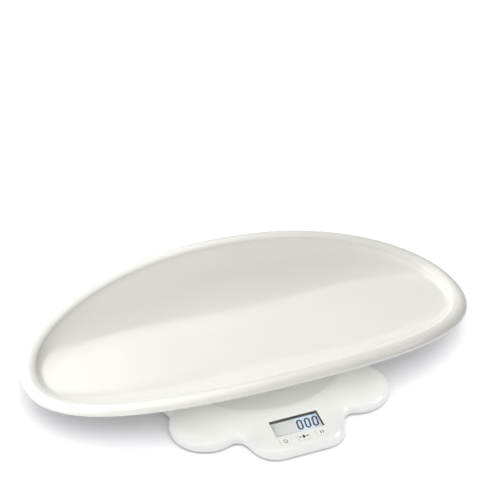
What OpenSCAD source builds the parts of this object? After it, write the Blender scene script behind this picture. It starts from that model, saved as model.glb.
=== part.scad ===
// Digital baby weighing scale with a lift-off tray.
// All sizes are in millimetres. The scale stands on z = 0 and the display faces -Y.
// The sub-parts are drawn about the centre of the round dish, and placed() moves them
// so that the origin lies under the middle of the whole object.

/* [Tray] */
// Length of the tray over its rim
tray_length = 550; // [480:5:620]
// Width of the tray over its rim
tray_width = 296; // [260:2:330]
// Power of the tray's plan outline, where 2 is an ellipse
tray_plan_power = 2.16; // [2:0.02:2.6]
// Depth from the rim's crest to the floor at mid length
tray_depth = 52.4; // [40:0.2:65]
// How much lower the rim's crest is at the tips
rim_fall = 35.6; // [20:0.2:42]
// Power of the rim's sweep from the middle to the tips
rim_sweep_power = 2.08; // [1.6:0.02:3]
// Width of the rolled rim
rim_width = 19.4; // [14:0.2:24]
// Drop of the rolled rim on its outside
rim_drop_out = 6.3; // [4.5:0.1:9]
// Drop of the rolled rim on its inside
rim_drop_in = 7.4; // [5.5:0.1:9]
// Height of the plain lip under the rolled rim
rim_lip = 1.2; // [0.6:0.1:4]
// Run of the side wall from the rim to the floor at mid length
side_wall_run = 66.2; // [50:0.2:80]
// Run of the wall from the rim to the floor at the tips
tip_wall_run = 11; // [6:0.5:40]
// Rise of the wall from the floor to the rim at the tips
tip_wall_rise = 1; // [0.5:0.5:8]
// Power of the floor's plan outline
floor_plan_power = 2.83; // [2.2:0.01:3.4]
// Radius-like size of the fillet between floor and wall
floor_fillet = 15; // [6:0.5:22]
// Thickness of the tray's wall
tray_wall = 3; // [2:0.1:3.6]

/* [Tray foot] */
// Gap between the foot's round ends and the slope of the dish
foot_dish_gap = 2; // [1:0.5:10]
// How much narrower the foot is than the tray's floor, on each side
foot_inset = 4.4; // [2:0.2:12]
// Height of the foot
foot_height = 14; // [10:0.5:24]
// Thickness of the foot's wall and plate
foot_wall = 2.5; // [1.6:0.1:3]
// Height of the tray's own rib between its floor and the foot
seat_rib = 1.2; // [0.8:0.1:4]
// Thickness of the rubber pads under the foot
pad_thickness = 1.5; // [1:0.1:3]
// Radius of the rubber pads
pad_radius = 9; // [6:0.5:12]
// Distance of the foot's screws from its ends
foot_screw_inset_x = 34; // [26:1:40]
// Distance of the foot's screws from its long sides
foot_screw_inset_y = 24; // [18:1:28]
// Distance of the locating pegs from the foot's ends
peg_inset = 18; // [12:1:24]
// Radius of the locating pegs
peg_radius = 6; // [4:0.5:8]
// Length of the locating pegs below the pads
peg_length = 3; // [2:0.5:4]
// Gap all round a locating peg in its socket
peg_clearance = 0.4; // [0.3:0.05:1]

/* [Base outline] */
// Radius of the base's round middle
disc_radius = 141; // [134:1:150]
// Distance of each corner lobe's centre in from the round middle's edge
lobe_inset = 8.4; // [4:0.2:16]
// Direction of the corner lobes from the X axis, in degrees
lobe_direction = 46.7; // [43:0.1:50]
// Radius of the corner lobes
lobe_radius = 41.5; // [36:0.5:46]
// Radius of the hollow between a lobe and the round middle
notch_radius = 14; // [8:1:20]
// How far the display lobe's front stands out from the round middle
display_out = 35.5; // [32:0.5:40]
// Width of the display lobe on each side of the window
display_side = 27.5; // [25:0.5:30]
// Radius of the display lobe's corner arcs
display_corner_radius = 30; // [26:1:34]
// Radius of the hollow between a front lobe and the display lobe
valley_radius = 13; // [9:1:16]
// Length of the straight between that hollow and the display lobe's corner
valley_straight = 13.9; // [6:0.1:20]

/* [Base section] */
// Gap between the base's shell and what it stands on
ground_gap = 4.5; // [3:0.5:7]
// Width of the round edge, seen from above
edge_width = 7.5; // [5:0.5:10]
// Height of the round edge
edge_drop = 9; // [6:0.5:10]
// Distance of the ridge round the dish in from the round middle's edge
ridge_inset = 27; // [20:0.5:34]
// Height of the ridge above the top of the edge
ridge_rise = 4; // [2:0.5:6]
// Depth of the dish below its ridge
dish_depth = 5.5; // [4:0.5:6.5]
// Gap between the roof of the battery bay and the dish above it
bay_headroom = 1; // [0.5:0.1:3]
// Width of the slope between the ridge and the dish's flat floor
dish_slope = 14; // [10:1:15]
// Thickness of the base's cover
cover_wall = 2.5; // [2:0.1:3]
// Thickness of the bottom shell's plate
bottom_wall = 2.5; // [2:0.1:3]
// Gap between the bottom shell and the cover's skirt
shell_gap = 0.3; // [0.2:0.05:0.6]

/* [Display] */
// Width of the display window
window_width = 57; // [50:0.5:60]
// Height of the display window
window_height = 24.1; // [20:0.1:25]
// Thickness of the window's frame
frame_wall = 0.6; // [0.4:0.1:1.2]
// Depth from the deck to the face of the glass panel
panel_depth = 2.9; // [2.2:0.1:3.4]
// How far the clear lens lies below the deck
lens_inset = 0.3; // [0.1:0.1:0.6]
// Thickness of the clear lens
lens_thickness = 1; // [0.6:0.1:1.4]
// Thickness of the liquid crystal panel
panel_thickness = 1.6; // [1.1:0.1:2]
// How far the panel reaches past the window on each side
panel_margin = 2.6; // [1.6:0.1:3]
// Thickness of the light guide behind the panel
guide_thickness = 1.2; // [0.8:0.1:1.6]
// Height of a digit
digit_height = 14.6; // [12:0.1:17]
// Width of a digit
digit_width = 6.4; // [5:0.1:8]
// Space between two digits
digit_space = 2.6; // [1.6:0.1:3.6]
// Width of a digit's strokes
digit_stroke = 1.3; // [0.8:0.1:1.8]
// Lean of the digits, in degrees
digit_lean = 7; // [0:0.5:12]
// Distance from the last digit to the window's side
digit_margin = 3; // [2:0.1:5]

/* [Keys] */
// Strip of the deck between the window's frame and the keys
key_strip = 3.8; // [3.2:0.1:5]
// Space between two keys
key_space = 9; // [7:0.2:12]
// Width of a key
key_width = 12.6; // [10:0.2:14]
// Depth of a key from front to back
key_depth = 8.4; // [7:0.2:9]
// Height of a pressed key above the deck
key_left = 0.1; // [0.1:0.1:0.5]
// Gap all round a key
key_gap = 0.25; // [0.15:0.05:0.5]
// Width of the flange that keeps a key under the cover
key_flange = 0.6; // [0.4:0.1:0.8]
// Thickness of that flange
key_flange_thickness = 0.7; // [0.5:0.1:0.9]
// Travel of a key
key_travel = 0.5; // [0.3:0.1:0.8]
// Radius of the rubber dome under a key
dome_radius = 3.4; // [2.5:0.1:3.8]

/* [Circuit board] */
// How far the circuit board reaches past the panel on each side
board_side = 6.9; // [6:0.1:8]
// Thickness of the circuit board
board_thickness = 1.2; // [0.8:0.1:1.6]
// How far the board reaches behind the panel
board_rear_lip = 1.4; // [0.6:0.1:4]
// How far the board reaches in front of the keys
board_front_lip = 2.4; // [1.6:0.1:3]
// Gap between the board and the front of the display lobe
board_gap = 5.7; // [5:0.1:9]
// Distance of the board's screws from its edges
board_screw_inset = 3.4; // [3:0.1:3.6]
// Radius of the moulded drop over the controller chip
chip_radius = 6; // [4:0.5:8]
// Thickness of that drop
chip_height = 1; // [0.6:0.1:1.2]

/* [Weighing feet] */
// Side of a load cell plate
cell_side = 30; // [26:1:32]
// Thickness of a load cell plate
cell_thickness = 1.2; // [1:0.1:1.6]
// Width of the tongue in a load cell plate
cell_tongue = 10; // [8:0.5:12]
// How far the carrier reaches past the load cell's corners
carrier_edge = 2.8; // [1:0.1:4]
// Thickness of the carrier
carrier_thickness = 2; // [1.6:0.1:2.4]
// Radius of a foot
stand_radius = 15; // [12:0.5:16]
// Thickness of a foot's rubber sole
sole_thickness = 2; // [1.5:0.1:2.6]
// Radius of a foot's rubber sole
sole_radius = 12.5; // [9:0.5:13]
// Gap between a foot and the bottom shell
stand_gap = 1.5; // [1:0.1:2.5]

/* [Battery bay] */
// Radius of a coin cell
coin_radius = 10; // [8:0.1:10.2]
// Thickness of a coin cell
coin_thickness = 3.2; // [1.6:0.1:3.3]
// Space between the two coin cells
coin_space = 3; // [1:0.5:6]
// Gap round the coin cells
coin_gap = 0.4; // [0.3:0.1:0.8]
// Thickness of the bay's walls
bay_wall = 1.5; // [1.2:0.1:2]
// Distance from the centre to the middle of the bay
bay_y = 52; // [40:1:66]
// Thickness of the battery door
door_thickness = 2; // [1.6:0.1:2.2]
// Gap round the battery door
door_gap = 0.3; // [0.25:0.05:0.5]
// Thickness of the metal contacts
contact_thickness = 0.4; // [0.3:0.05:0.5]

/* [Fasteners and leads] */
// Shank radius of the small screws
screw_radius = 1.3; // [1:0.05:1.4]
// Head radius of the small screws
screw_head_radius = 2.6; // [2.2:0.1:3]
// Head height of the small screws
screw_head_height = 1.5; // [1.2:0.1:1.8]
// Wall of the bosses round the screws
boss_wall = 2.2; // [1.6:0.1:2.6]
// Play between a screw and its hole
screw_play = 0.3; // [0.2:0.05:0.4]
// Radius of the leads inside the base
lead_radius = 0.8; // [0.5:0.1:1]

/* [Hidden] */

ivory = [0.93, 0.925, 0.89];
bare = 0.01;                    // overlap that fuses two shapes of one sub-part
thread_play = 0.02;             // play between a screw and the hole it bites into
hole_end = 0.2;                 // free space beyond a screw's tip
smooth = 64;                    // sides that stand for a true circle

// Levels, from the floor up to the rim
boss_foot = ground_gap + bottom_wall;
bay_floor = ground_gap + door_thickness;
coin_rib = 0.3;                 // height of the ribs on the door that the cells rest on
spring_space = 1.5;             // space over the cells for their springs
coin_bottom = bay_floor + coin_rib;
bay_roof = coin_bottom + coin_thickness + spring_space;
dish_floor = bay_roof + bay_wall + bay_headroom + cover_wall;
ridge_height = dish_floor + dish_depth;
edge_height = ridge_height - ridge_rise;
foot_bottom = dish_floor + pad_thickness;
foot_top = foot_bottom + foot_height;
tray_floor = foot_top + seat_rib + tray_wall;
crest_middle = tray_floor + tray_depth;
crest_tips = crest_middle - rim_fall;
tip_floor = crest_tips - rim_drop_in - tip_wall_rise;

// Half sizes of the tray and its floor
tray_a = tray_length / 2;
tray_b = tray_width / 2;
floor_a = tray_a - rim_width - tip_wall_run;
floor_b = tray_b - rim_width - side_wall_run;

// Places on the base, seen from above
ridge_radius = disc_radius - ridge_inset;
display_reach = disc_radius + display_out;
lobe_x = (disc_radius - lobe_inset) * cos(lobe_direction);
lobe_y = (disc_radius - lobe_inset) * sin(lobe_direction);

// The origin lies under the middle of the tray's rear and the display lobe's front
origin_shift = (display_reach - tray_b) / 2;
module placed() { translate([0, origin_shift, 0]) children(); }

function mix(a, b, t) = a + (b - a) * t;
function unit(v) = v / norm(v);
function signed_power(c, p) = sign(c) * pow(abs(c), p);
function flat(lists) = [for (l = lists) for (item = l) item];

// A closed solid through rings of equal count, between two poles
module loft(first_pole, rings, last_pole) {
    n = len(rings[0]);
    m = len(rings);
    points = concat([first_pole], flat(rings), [last_pole]);
    faces = concat(
        [for (i = [0:n - 1]) [0, 1 + (i + 1) % n, 1 + i]],
        [for (k = [0:m - 2]) for (i = [0:n - 1]) each
            let (a = 1 + k * n + i, b = 1 + k * n + (i + 1) % n)
            [[a, b, b + n], [a, b + n, a + n]]],
        [for (i = [0:n - 1]) [1 + m * n, 1 + (m - 1) * n + i, 1 + (m - 1) * n + (i + 1) % n]]
    );
    polyhedron(points = points, faces = faces, convexity = 6);
}

// ---------------------------------------------------------------- tray

tray_sides = 96;
tray_turn = [for (i = [0:tray_sides - 1]) i * 360 / tray_sides];

function oval(a, b, p, u) = [a * signed_power(cos(u), 2 / p), b * signed_power(sin(u), 2 / p)];
function oval_normal(a, b, p, u) = unit([
    signed_power(cos(u), 2 - 2 / p) / a,
    signed_power(sin(u), 2 - 2 / p) / b
]);
function crest_z(u) = let (x = abs(oval(tray_a, tray_b, tray_plan_power, u)[0]) / tray_a)
    crest_tips + rim_fall * (1 - pow(x, rim_sweep_power));
function floor_z(x) = tray_floor + (tip_floor - tray_floor) * pow(x / floor_a, 2);

// A point of the rim: its distance in from the edge, and its drop below the crest
function rim_point(u, inward, drop) = let (
    p = oval(tray_a, tray_b, tray_plan_power, u),
    q = p - inward * oval_normal(tray_a, tray_b, tray_plan_power, u)
) [q[0], q[1], crest_z(u) - drop];
// The rolled rim's half ellipse, where skin is how far the point lies under the surface
function bead_point(u, turn, skin) = let (
    h = (turn < 90 ? rim_drop_out : rim_drop_in),
    half = rim_width / 2
) rim_point(u, half - (half - skin) * cos(turn), h - (h - skin) * sin(turn));
function crease_point(u) = let (p = oval(floor_a, floor_b, floor_plan_power, u))
    [p[0], p[1], floor_z(p[0])];
function wall_point(u, t) = mix(rim_point(u, rim_width, rim_drop_in), crease_point(u), t);
function floor_point(u, s) = let (
    p = oval(floor_a, floor_b, floor_plan_power, u),
    q = s * (p - floor_fillet * oval_normal(floor_a, floor_b, floor_plan_power, u))
) [q[0], q[1], floor_z(q[0])];
// The fillet between wall and floor, where f = 0 is on the wall and f = 1 on the floor
function wall_end(u) = let (run = norm(wall_point(u, 0) - crease_point(u)))
    1 - min(0.8, floor_fillet / run);
function fillet_point(u, f) = let (
    a = wall_point(u, wall_end(u)),
    b = crease_point(u),
    c = floor_point(u, 1)
) mix(mix(a, b, f), mix(b, c, f), f);
function lowered(p, d) = [p[0], p[1], p[2] - d];

tray_skin = tray_wall * 1.15;   // upright thickness that gives the wall its thickness on the slope

module tray() {
    top = concat(
        [for (s = [0.3, 0.65, 1]) [for (u = tray_turn) floor_point(u, s)]],
        [for (f = [0.75, 0.5, 0.25, 0]) [for (u = tray_turn) fillet_point(u, f)]],
        [for (t = [0.5, 0.12]) [for (u = tray_turn) wall_point(u, t * wall_end(u))]],
        [for (turn = [155, 130, 105, 80, 50, 25, 0]) [for (u = tray_turn) bead_point(u, turn, 0)]]
    );
    lip = [for (inward = [0, tray_wall])
        [for (u = tray_turn) rim_point(u, inward, rim_drop_out + rim_lip)]];
    under = concat(
        [for (turn = [0, 35, 65, 95, 125]) [for (u = tray_turn) bead_point(u, turn, tray_wall)]],
        [for (t = [0.12, 0.55]) [for (u = tray_turn)
            lowered(wall_point(u, t * wall_end(u)), tray_skin)]],
        [for (f = [0, 0.5, 1]) [for (u = tray_turn) lowered(fillet_point(u, f), tray_skin)]],
        [for (s = [0.65, 0.3]) [for (u = tray_turn) lowered(floor_point(u, s), tray_wall)]]
    );
    seat_h = seat_rib + tray_wall * 0.6;
    placed() color(ivory) difference() {
        union() {
            loft([0, 0, tray_floor], concat(top, lip, under), [0, 0, tray_floor - tray_wall]);
            translate([0, 0, foot_top]) stadium_ring(foot_end_offset, foot_radius, foot_wall, seat_h);
            at_foot_screws() translate([0, 0, foot_top])
                cylinder(r = screw_radius + boss_wall, h = seat_h, $fn = smooth);
        }
        at_foot_screws() translate([0, 0, foot_top - bare])
            cylinder(r = screw_radius + thread_play, h = foot_screw_bite + bare, $fn = smooth);
    }
}

// ---------------------------------------------------------------- foot of the tray

foot_radius = floor_b - foot_inset;
foot_end_offset = ridge_radius - dish_slope - foot_dish_gap - foot_radius;
foot_screw_x = foot_end_offset + foot_radius - foot_screw_inset_x;
foot_screw_y = foot_radius - foot_screw_inset_y;
peg_offset = foot_end_offset + foot_radius - peg_inset;
foot_screw_bite = seat_rib + tray_wall * 0.45;
foot_screw_sink = foot_height / 2;      // depth of the sunk heads, from the foot's underside

module stadium(offset_x, r, h) {
    for (s = [-1, 1]) translate([s * offset_x, 0, 0]) cylinder(r = r, h = h, $fn = smooth);
    translate([-offset_x, -r, 0]) cube([2 * offset_x, 2 * r, h]);
}
module stadium_ring(offset_x, r, wall, h) {
    difference() {
        stadium(offset_x, r, h);
        translate([0, 0, -1]) stadium(offset_x, r - wall, h + 2);
    }
}
module at_foot_screws() {
    for (x = [-1, 1]) for (y = [-1, 1])
        translate([x * foot_screw_x, y * foot_screw_y, 0]) children();
}
module at_pads() {
    for (x = [-1, 1]) for (y = [-1, 1])
        translate([x * foot_screw_x / 2, y * foot_screw_y, 0]) children();
}

module tray_foot() {
    head = screw_head_radius + screw_play;
    placed() color(ivory) translate([0, 0, foot_bottom]) difference() {
        union() {
            difference() {
                stadium(foot_end_offset, foot_radius, foot_height);
                translate([0, 0, foot_wall])
                    stadium(foot_end_offset, foot_radius - foot_wall, foot_height);
            }
            at_foot_screws() cylinder(r = head + foot_wall, h = foot_height, $fn = smooth);
            for (s = [-1, 1]) translate([s * peg_offset, 0, -pad_thickness - peg_length])
                cylinder(r = peg_radius, h = pad_thickness + peg_length + foot_wall, $fn = smooth);
        }
        at_foot_screws() translate([0, 0, -1]) {
            cylinder(r = head, h = foot_screw_sink + 1, $fn = smooth);
            cylinder(r = screw_radius + screw_play, h = foot_height + 2, $fn = smooth);
        }
    }
}

module tray_foot_screws() {
    length = foot_height - foot_screw_sink + foot_screw_bite - hole_end;
    placed() color("silver") at_foot_screws() translate([0, 0, foot_bottom + foot_screw_sink])
        screw(length);
}

module tray_pads() {
    placed() color("dimgray") at_pads() translate([0, 0, dish_floor])
        cylinder(r = pad_radius, h = pad_thickness, $fn = smooth);
}

// A screw with its head down: the head's upper face lies at z = 0, with a cross slot below
module screw(length) {
    difference() {
        union() {
            translate([0, 0, -screw_head_height])
                cylinder(r = screw_head_radius, h = screw_head_height, $fn = smooth);
            translate([0, 0, -bare]) cylinder(r = screw_radius, h = length + bare, $fn = smooth);
        }
        for (turn = [0, 90]) rotate([0, 0, turn])
            translate([-screw_head_radius * 0.7, -0.3, -screw_head_height - bare])
                cube([screw_head_radius * 1.4, 0.6, screw_head_height / 2]);
    }
}

// ---------------------------------------------------------------- outline of the base

// The point at distance ra from a and rb from b, to the left (side 1) or right (side -1)
// of the line from a to b
function meeting(a, ra, b, rb, side) = let (
    d = norm(b - a),
    along = (ra * ra - rb * rb + d * d) / (2 * d),
    off = sqrt(max(0, ra * ra - along * along)),
    dir = (b - a) / d
) a + along * dir + side * off * [-dir[1], dir[0]];

front_lobe = [lobe_x, -lobe_y];
rear_lobe = [lobe_x, lobe_y];
lobe_to_notch = lobe_radius + notch_radius;
disc_to_notch = disc_radius + notch_radius;
side_notch = meeting([0, 0], disc_to_notch, front_lobe, lobe_to_notch, 1);
rear_notch = meeting([0, 0], disc_to_notch, rear_lobe, lobe_to_notch, 1);
display_corner = [
    window_width / 2 + display_side - display_corner_radius,
    -(display_reach - display_corner_radius)
];
valley = meeting(front_lobe, lobe_radius + valley_radius,
    display_corner, norm([display_corner_radius + valley_radius, valley_straight]), 1);

// Arcs of the right half from front to rear: centre, and radius, negative where hollow
right_arcs = [
    [display_corner, display_corner_radius],
    [valley, -valley_radius],
    [front_lobe, lobe_radius],
    [side_notch, -notch_radius],
    [[0, 0], disc_radius],
    [[side_notch[0], -side_notch[1]], -notch_radius],
    [rear_lobe, lobe_radius],
    [rear_notch, -notch_radius]
];
function mirrored(arc) = [[-arc[0][0], arc[0][1]], arc[1]];
arcs = concat(
    right_arcs,
    [[[0, 0], disc_radius]],
    [for (i = [len(right_arcs) - 1:-1:0]) mirrored(right_arcs[i])]
);

// Direction, square to the outline, of the line or point where arc a runs into arc b
function joint_angle(a, b) = let (d = b[0] - a[0])
    atan2(d[1], d[0]) - acos(max(-1, min(1, (a[1] - b[1]) / norm(d))));
// Length of the straight between them, 0 where they touch
function straight(a, b) = let (d = norm(b[0] - a[0]), r = a[1] - b[1]) sqrt(max(0, d * d - r * r));
function turn_to(from, to, hollow) = let (sweep = ((to - from) % 360 + 360) % 360)
    hollow ? (sweep < 0.001 ? 0 : sweep - 360) : sweep;
outline_step = 9;               // length of outline between two points of it

function arc_point(arc, angle, inward) = arc[0] + (arc[1] - inward) * [cos(angle), sin(angle)];

// The outline, moved in by a distance
function outline(inward) = flat([for (i = [0:len(arcs) - 1]) let (
    arc = arcs[i],
    next = arcs[(i + 1) % len(arcs)],
    from = joint_angle(arcs[(i + len(arcs) - 1) % len(arcs)], arc),
    to = joint_angle(arc, next),
    sweep = turn_to(from, to, arc[1] < 0),
    steps = max(2, ceil(abs(sweep * arc[1]) * PI / 180 / outline_step)),
    gap = straight(arc, next),
    parts = gap < 0.01 ? 0 : ceil(gap / outline_step)
) concat(
    [for (k = [0:steps - 1]) arc_point(arc, from + sweep * k / steps, inward)],
    [for (k = [0:1:parts - 1]) mix(arc_point(arc, to, inward), arc_point(next, to, inward), k / parts)]
)]);

// ---------------------------------------------------------------- section of the base

edge_line = outline(edge_width);
edge_count = len(edge_line);
function polar(p) = let (a = atan2(p[1], p[0])) (a < -90 ? a + 360 : a);
edge_start = polar(edge_line[0]);
right_edge = [for (p = edge_line) if (p[0] > -0.01) [polar(p), norm(p)]];
// Direction and radius of the edge's inner side, from the middle of the front to the rear
edge_table = concat(
    [for (e = right_edge) if (e[0] < edge_start - 0.001) e],
    [for (e = right_edge) if (e[0] >= edge_start - 0.001) e]
);

// Radius of the edge's inner side in the direction of a point of the right half
function edge_radius(x, y) = lookup(polar([abs(x), y]), edge_table);
function ease(t) = (1 - cos(180 * t)) / 2;
// 1 on the display lobe, where the deck is flat, and 0 on the rest
function display_share(angle) = let (off = abs(angle + 90)) 1 - ease(min(1, max(0, (off - 17) / 10)));
// Height of the deck between the edge (t = 0) and the ridge (t = 1)
function deck_rise(t, run, angle) = let (
    bend = 1 + max(0, run - 18) / 40,
    share = display_share(angle)
) edge_height + (ridge_height - edge_height) * mix(ease(pow(t, bend)), t, share);
function deck_z(x, y) = let (
    r_edge = edge_radius(x, y),
    r = norm([x, y]),
    t = min(1, max(0, (r_edge - r) / (r_edge - ridge_radius)))
) deck_rise(t, r_edge - ridge_radius, polar([abs(x), y]));

function deck_ring(t, skin) = [for (p = edge_line) let (
    run = norm(p) - ridge_radius,
    q = p - unit(p) * run * t,
    angle = polar([abs(p[0]), p[1]])
) [q[0], q[1], deck_rise(t, run, angle) - skin]];
function dish_ring(s, skin) = [for (p = edge_line) let (q = unit(p) * (ridge_radius - dish_slope * s))
    [q[0], q[1], ridge_height - dish_depth * ease(s) - skin]];
function level_ring(inward, z) = [for (p = outline(inward)) [p[0], p[1], z]];
// The round edge, from its top (90 degrees) to the upright wall (0 degrees)
function edge_ring(a, skin) = level_ring(
    edge_width - (edge_width - skin) * cos(a),
    edge_height - skin - (edge_drop - skin) * (1 - sin(a))
);

module cover_shell() {
    outer = concat(
        [for (s = [1, 0.75, 0.5, 0.25, 0]) dish_ring(s, 0)],
        [for (t = [0.8, 0.5, 0.2]) deck_ring(t, 0)],
        [for (a = [90, 60, 30, 0]) edge_ring(a, 0)],
        [level_ring(0, ground_gap)]
    );
    inner = concat(
        [level_ring(cover_wall, ground_gap)],
        [for (a = [0, 45, 90]) edge_ring(a, cover_wall)],
        [for (t = [0.6]) deck_ring(t, cover_wall)],
        [for (s = [0, 1]) dish_ring(s, cover_wall)]
    );
    loft([0, 0, dish_floor], concat(outer, inner), [0, 0, dish_floor - cover_wall]);
}

// ---------------------------------------------------------------- frame of the display deck

panel_width = window_width + 2 * panel_margin;
panel_height = window_height + 2 * panel_margin;
key_pitch = key_width + key_space;
key_row = window_height / 2 + frame_wall + key_strip + key_gap + key_depth / 2;
board_width = panel_width + 2 * board_side;
board_rear = panel_height / 2 + board_rear_lip;
board_front = key_row + key_depth / 2 + board_front_lip;
window_y = display_reach - board_front - board_gap;
window_rear_y = -(window_y - window_height / 2);
window_front_y = -(window_y + window_height / 2);
window_rear_z = deck_z(0, window_rear_y);
window_front_z = deck_z(0, window_front_y);
deck_tilt = atan2(window_rear_z - window_front_z, window_height);
deck_middle_z = (window_rear_z + window_front_z) / 2;

// Local axes on the deck: X to the right, Y up the deck to the rear, Z square to it
module on_deck() {
    translate([0, -window_y, deck_middle_z]) rotate([deck_tilt, 0, 0]) children();
}
module block(width, depth, low, high) {
    translate([-width / 2, -depth / 2, low]) cube([width, depth, high - low]);
}

panel_face = -panel_depth;
panel_back = panel_face - panel_thickness;
board_top = panel_back - guide_thickness;
board_bottom = board_top - board_thickness;

module display_frame() {
    placed() color([0.06, 0.065, 0.08]) on_deck() difference() {
        block(window_width + 2 * frame_wall, window_height + 2 * frame_wall, panel_face, -0.1);
        block(window_width, window_height, panel_face - 1, 1);
    }
}
module display_lens() {
    placed() color([0.9, 0.93, 0.95, 0.35]) on_deck()
        block(window_width, window_height, -lens_inset - lens_thickness, -lens_inset);
}
module lcd_panel() {
    placed() color([0.84, 0.86, 0.88]) on_deck()
        block(panel_width, panel_height, panel_back, panel_face);
}
digit_thickness = 0.1;
digit_pitch = digit_width + digit_space;
digit_drop = 0.4;               // how far the digits lie in front of the window's middle
stroke_gap = 0.35;              // half the gap between two strokes

// One stroke of a leaning digit, between two heights
module stroke(x, y, width, height) {
    lean = tan(digit_lean);
    low = y - height / 2;
    high = y + height / 2;
    linear_extrude(height = digit_thickness) polygon([
        [x - width / 2 + lean * low, low], [x + width / 2 + lean * low, low],
        [x + width / 2 + lean * high, high], [x - width / 2 + lean * high, high]
    ]);
}
// A nought of six strokes
module digit_strokes() {
    reach_x = digit_width / 2 - digit_stroke / 2;
    reach_y = digit_height / 2 - digit_stroke / 2;
    for (s = [-1, 1]) stroke(0, s * reach_y, digit_width - digit_stroke * 2, digit_stroke);
    for (x = [-1, 1]) for (y = [-1, 1])
        stroke(x * reach_x, y * (reach_y / 2 + stroke_gap), digit_stroke, reach_y - 2 * stroke_gap);
}
module lcd_digits() {
    last = window_width / 2 - digit_margin - digit_width / 2;
    placed() color([0.15, 0.2, 0.3]) on_deck() translate([0, -digit_drop, panel_face])
        for (i = [0:2]) translate([last - i * digit_pitch, 0, 0]) digit_strokes();
}
strip_depth = 2;                // depth of the rubber strips along the panel's long edges
strip_gap = 0.5;                // gap between them and the light guide
strip_end = 2;                  // how much shorter they are than the panel at each end
module light_guide() {
    placed() color([0.95, 0.96, 0.98]) on_deck()
        block(panel_width, panel_height - 2 * (strip_depth + strip_gap), board_top, panel_back);
}
module contact_strips() {
    y = panel_height / 2 - strip_depth / 2;
    placed() color([0.55, 0.3, 0.35]) on_deck() for (s = [-1, 1]) translate([0, s * y, 0])
        block(panel_width - 2 * strip_end, strip_depth, board_top, panel_back);
}

board_screw_x = board_width / 2 - board_screw_inset;
module at_board_screws() {
    for (x = [-1, 1]) for (y = [board_rear - board_screw_inset, board_screw_inset - board_front + 1])
        translate([x * board_screw_x, y, 0]) children();
}
board_screw_radius = 0.9;
board_screw_head = 1.8;         // radius of the board screws' heads
board_post_radius = 2.4;
board_corner = 5;               // how far the board's front corners are cut off
module main_board() {
    side = board_width / 2;
    placed() color([0.1, 0.38, 0.2]) on_deck() difference() {
        translate([0, 0, board_bottom]) linear_extrude(height = board_thickness) polygon([
            [side, board_rear], [-side, board_rear],
            [-side, board_corner - board_front], [board_corner - side, -board_front],
            [side - board_corner, -board_front], [side, board_corner - board_front]
        ]);
        at_board_screws() translate([0, 0, board_bottom - 1])
            cylinder(r = board_screw_radius + 0.1, h = board_thickness + 2, $fn = smooth);
    }
}
board_screw_bite = 3;           // how deep the board's screws reach into their posts
module board_screws() {
    placed() color("silver") on_deck() at_board_screws() {
        translate([0, 0, board_bottom - 1]) cylinder(r = board_screw_head, h = 1, $fn = smooth);
        translate([0, 0, board_bottom - bare])
            cylinder(r = board_screw_radius, h = board_thickness + board_screw_bite, $fn = smooth);
    }
}
chip_place = [-8, 3];           // place of the chip on the board's underside
module controller_chip() {
    placed() color([0.07, 0.07, 0.08]) on_deck()
        translate([chip_place[0], chip_place[1], board_bottom - chip_height])
        cylinder(r = chip_radius, h = chip_height, $fn = smooth);
}
socket_height = 1.8;
socket_width = 12;
socket_depth = 4;
socket_x = 16;                  // distance of the lead sockets from the middle
socket_y = board_rear - socket_depth;
module lead_sockets() {
    placed() color("white") on_deck() for (s = [-1, 1]) translate([s * socket_x, socket_y, 0])
        block(socket_width, socket_depth, board_bottom - socket_height, board_bottom);
}

// ---------------------------------------------------------------- keys

key_stand = key_left + key_travel;
flange_gap = 0.3;               // gap between a key's flange and the cover above it
cap_bottom = -cover_wall - flange_gap;
flange_bottom = cap_bottom - key_flange_thickness;
module at_key(place) {
    on_deck() translate([place * key_pitch, -key_row, 0]) children();
}
module key(place) {
    placed() color([0.96, 0.96, 0.94]) at_key(place) {
        block(key_width, key_depth, cap_bottom - bare, key_stand);
        block(key_width + 2 * key_flange, key_depth + 2 * key_flange, flange_bottom, cap_bottom);
    }
}
module dome(place) {
    placed() color([0.75, 0.76, 0.74]) at_key(place) translate([0, 0, board_top])
        cylinder(r1 = dome_radius, r2 = dome_radius * 0.7, h = flange_bottom - board_top, $fn = smooth);
}
module key_power() { key(-1); }
module key_zero() { key(0); }
module key_hold() { key(1); }
module dome_power() { dome(-1); }
module dome_zero() { dome(0); }
module dome_hold() { dome(1); }

// ---------------------------------------------------------------- cover of the base

side_screw_inset = 22;          // distance of the side screws from the round middle's edge
rear_screw_inset = 17.6;        // the same for the rear screws
rear_screw_direction = 70;      // direction of the rear screws from the centre, in degrees
front_screw_inset = 9.5;        // distance of the front screws from the display lobe's sides
front_screw_shift = 2.5;        // how far they lie in front of its corner arcs' centres
side_screw_x = disc_radius - side_screw_inset;
rear_screw = (disc_radius - rear_screw_inset)
    * [cos(rear_screw_direction), sin(rear_screw_direction)];
front_screw_x = window_width / 2 + display_side - front_screw_inset;
front_screw_y = display_corner[1] - front_screw_shift;
base_screw_places = [for (s = [-1, 1]) each
    [[s * side_screw_x, 0], [s * front_screw_x, front_screw_y], [s * rear_screw[0], rear_screw[1]]]];
base_boss_radius = screw_radius + boss_wall;
cell_lift = 1;                  // free space under a load cell, for its tongue
cell_bottom = boss_foot + cell_lift;
cell_top = cell_bottom + cell_thickness;
carrier_radius = cell_side / sqrt(2) + carrier_edge;
carrier_top = cell_top + carrier_thickness;
lobe_ring_radius = 20;          // ring in each lobe that bears on the carrier
lobe_ring_wall = 2;

module at_lobes() {
    for (x = [-1, 1]) for (y = [-1, 1]) translate([x * lobe_x, y * lobe_y, 0]) children();
}

socket_wall = 2;                // wall round and under the sockets of the tray's pegs
socket_end = 0.5;               // free space under a peg
socket_floor = dish_floor - peg_length - socket_end;

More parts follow.
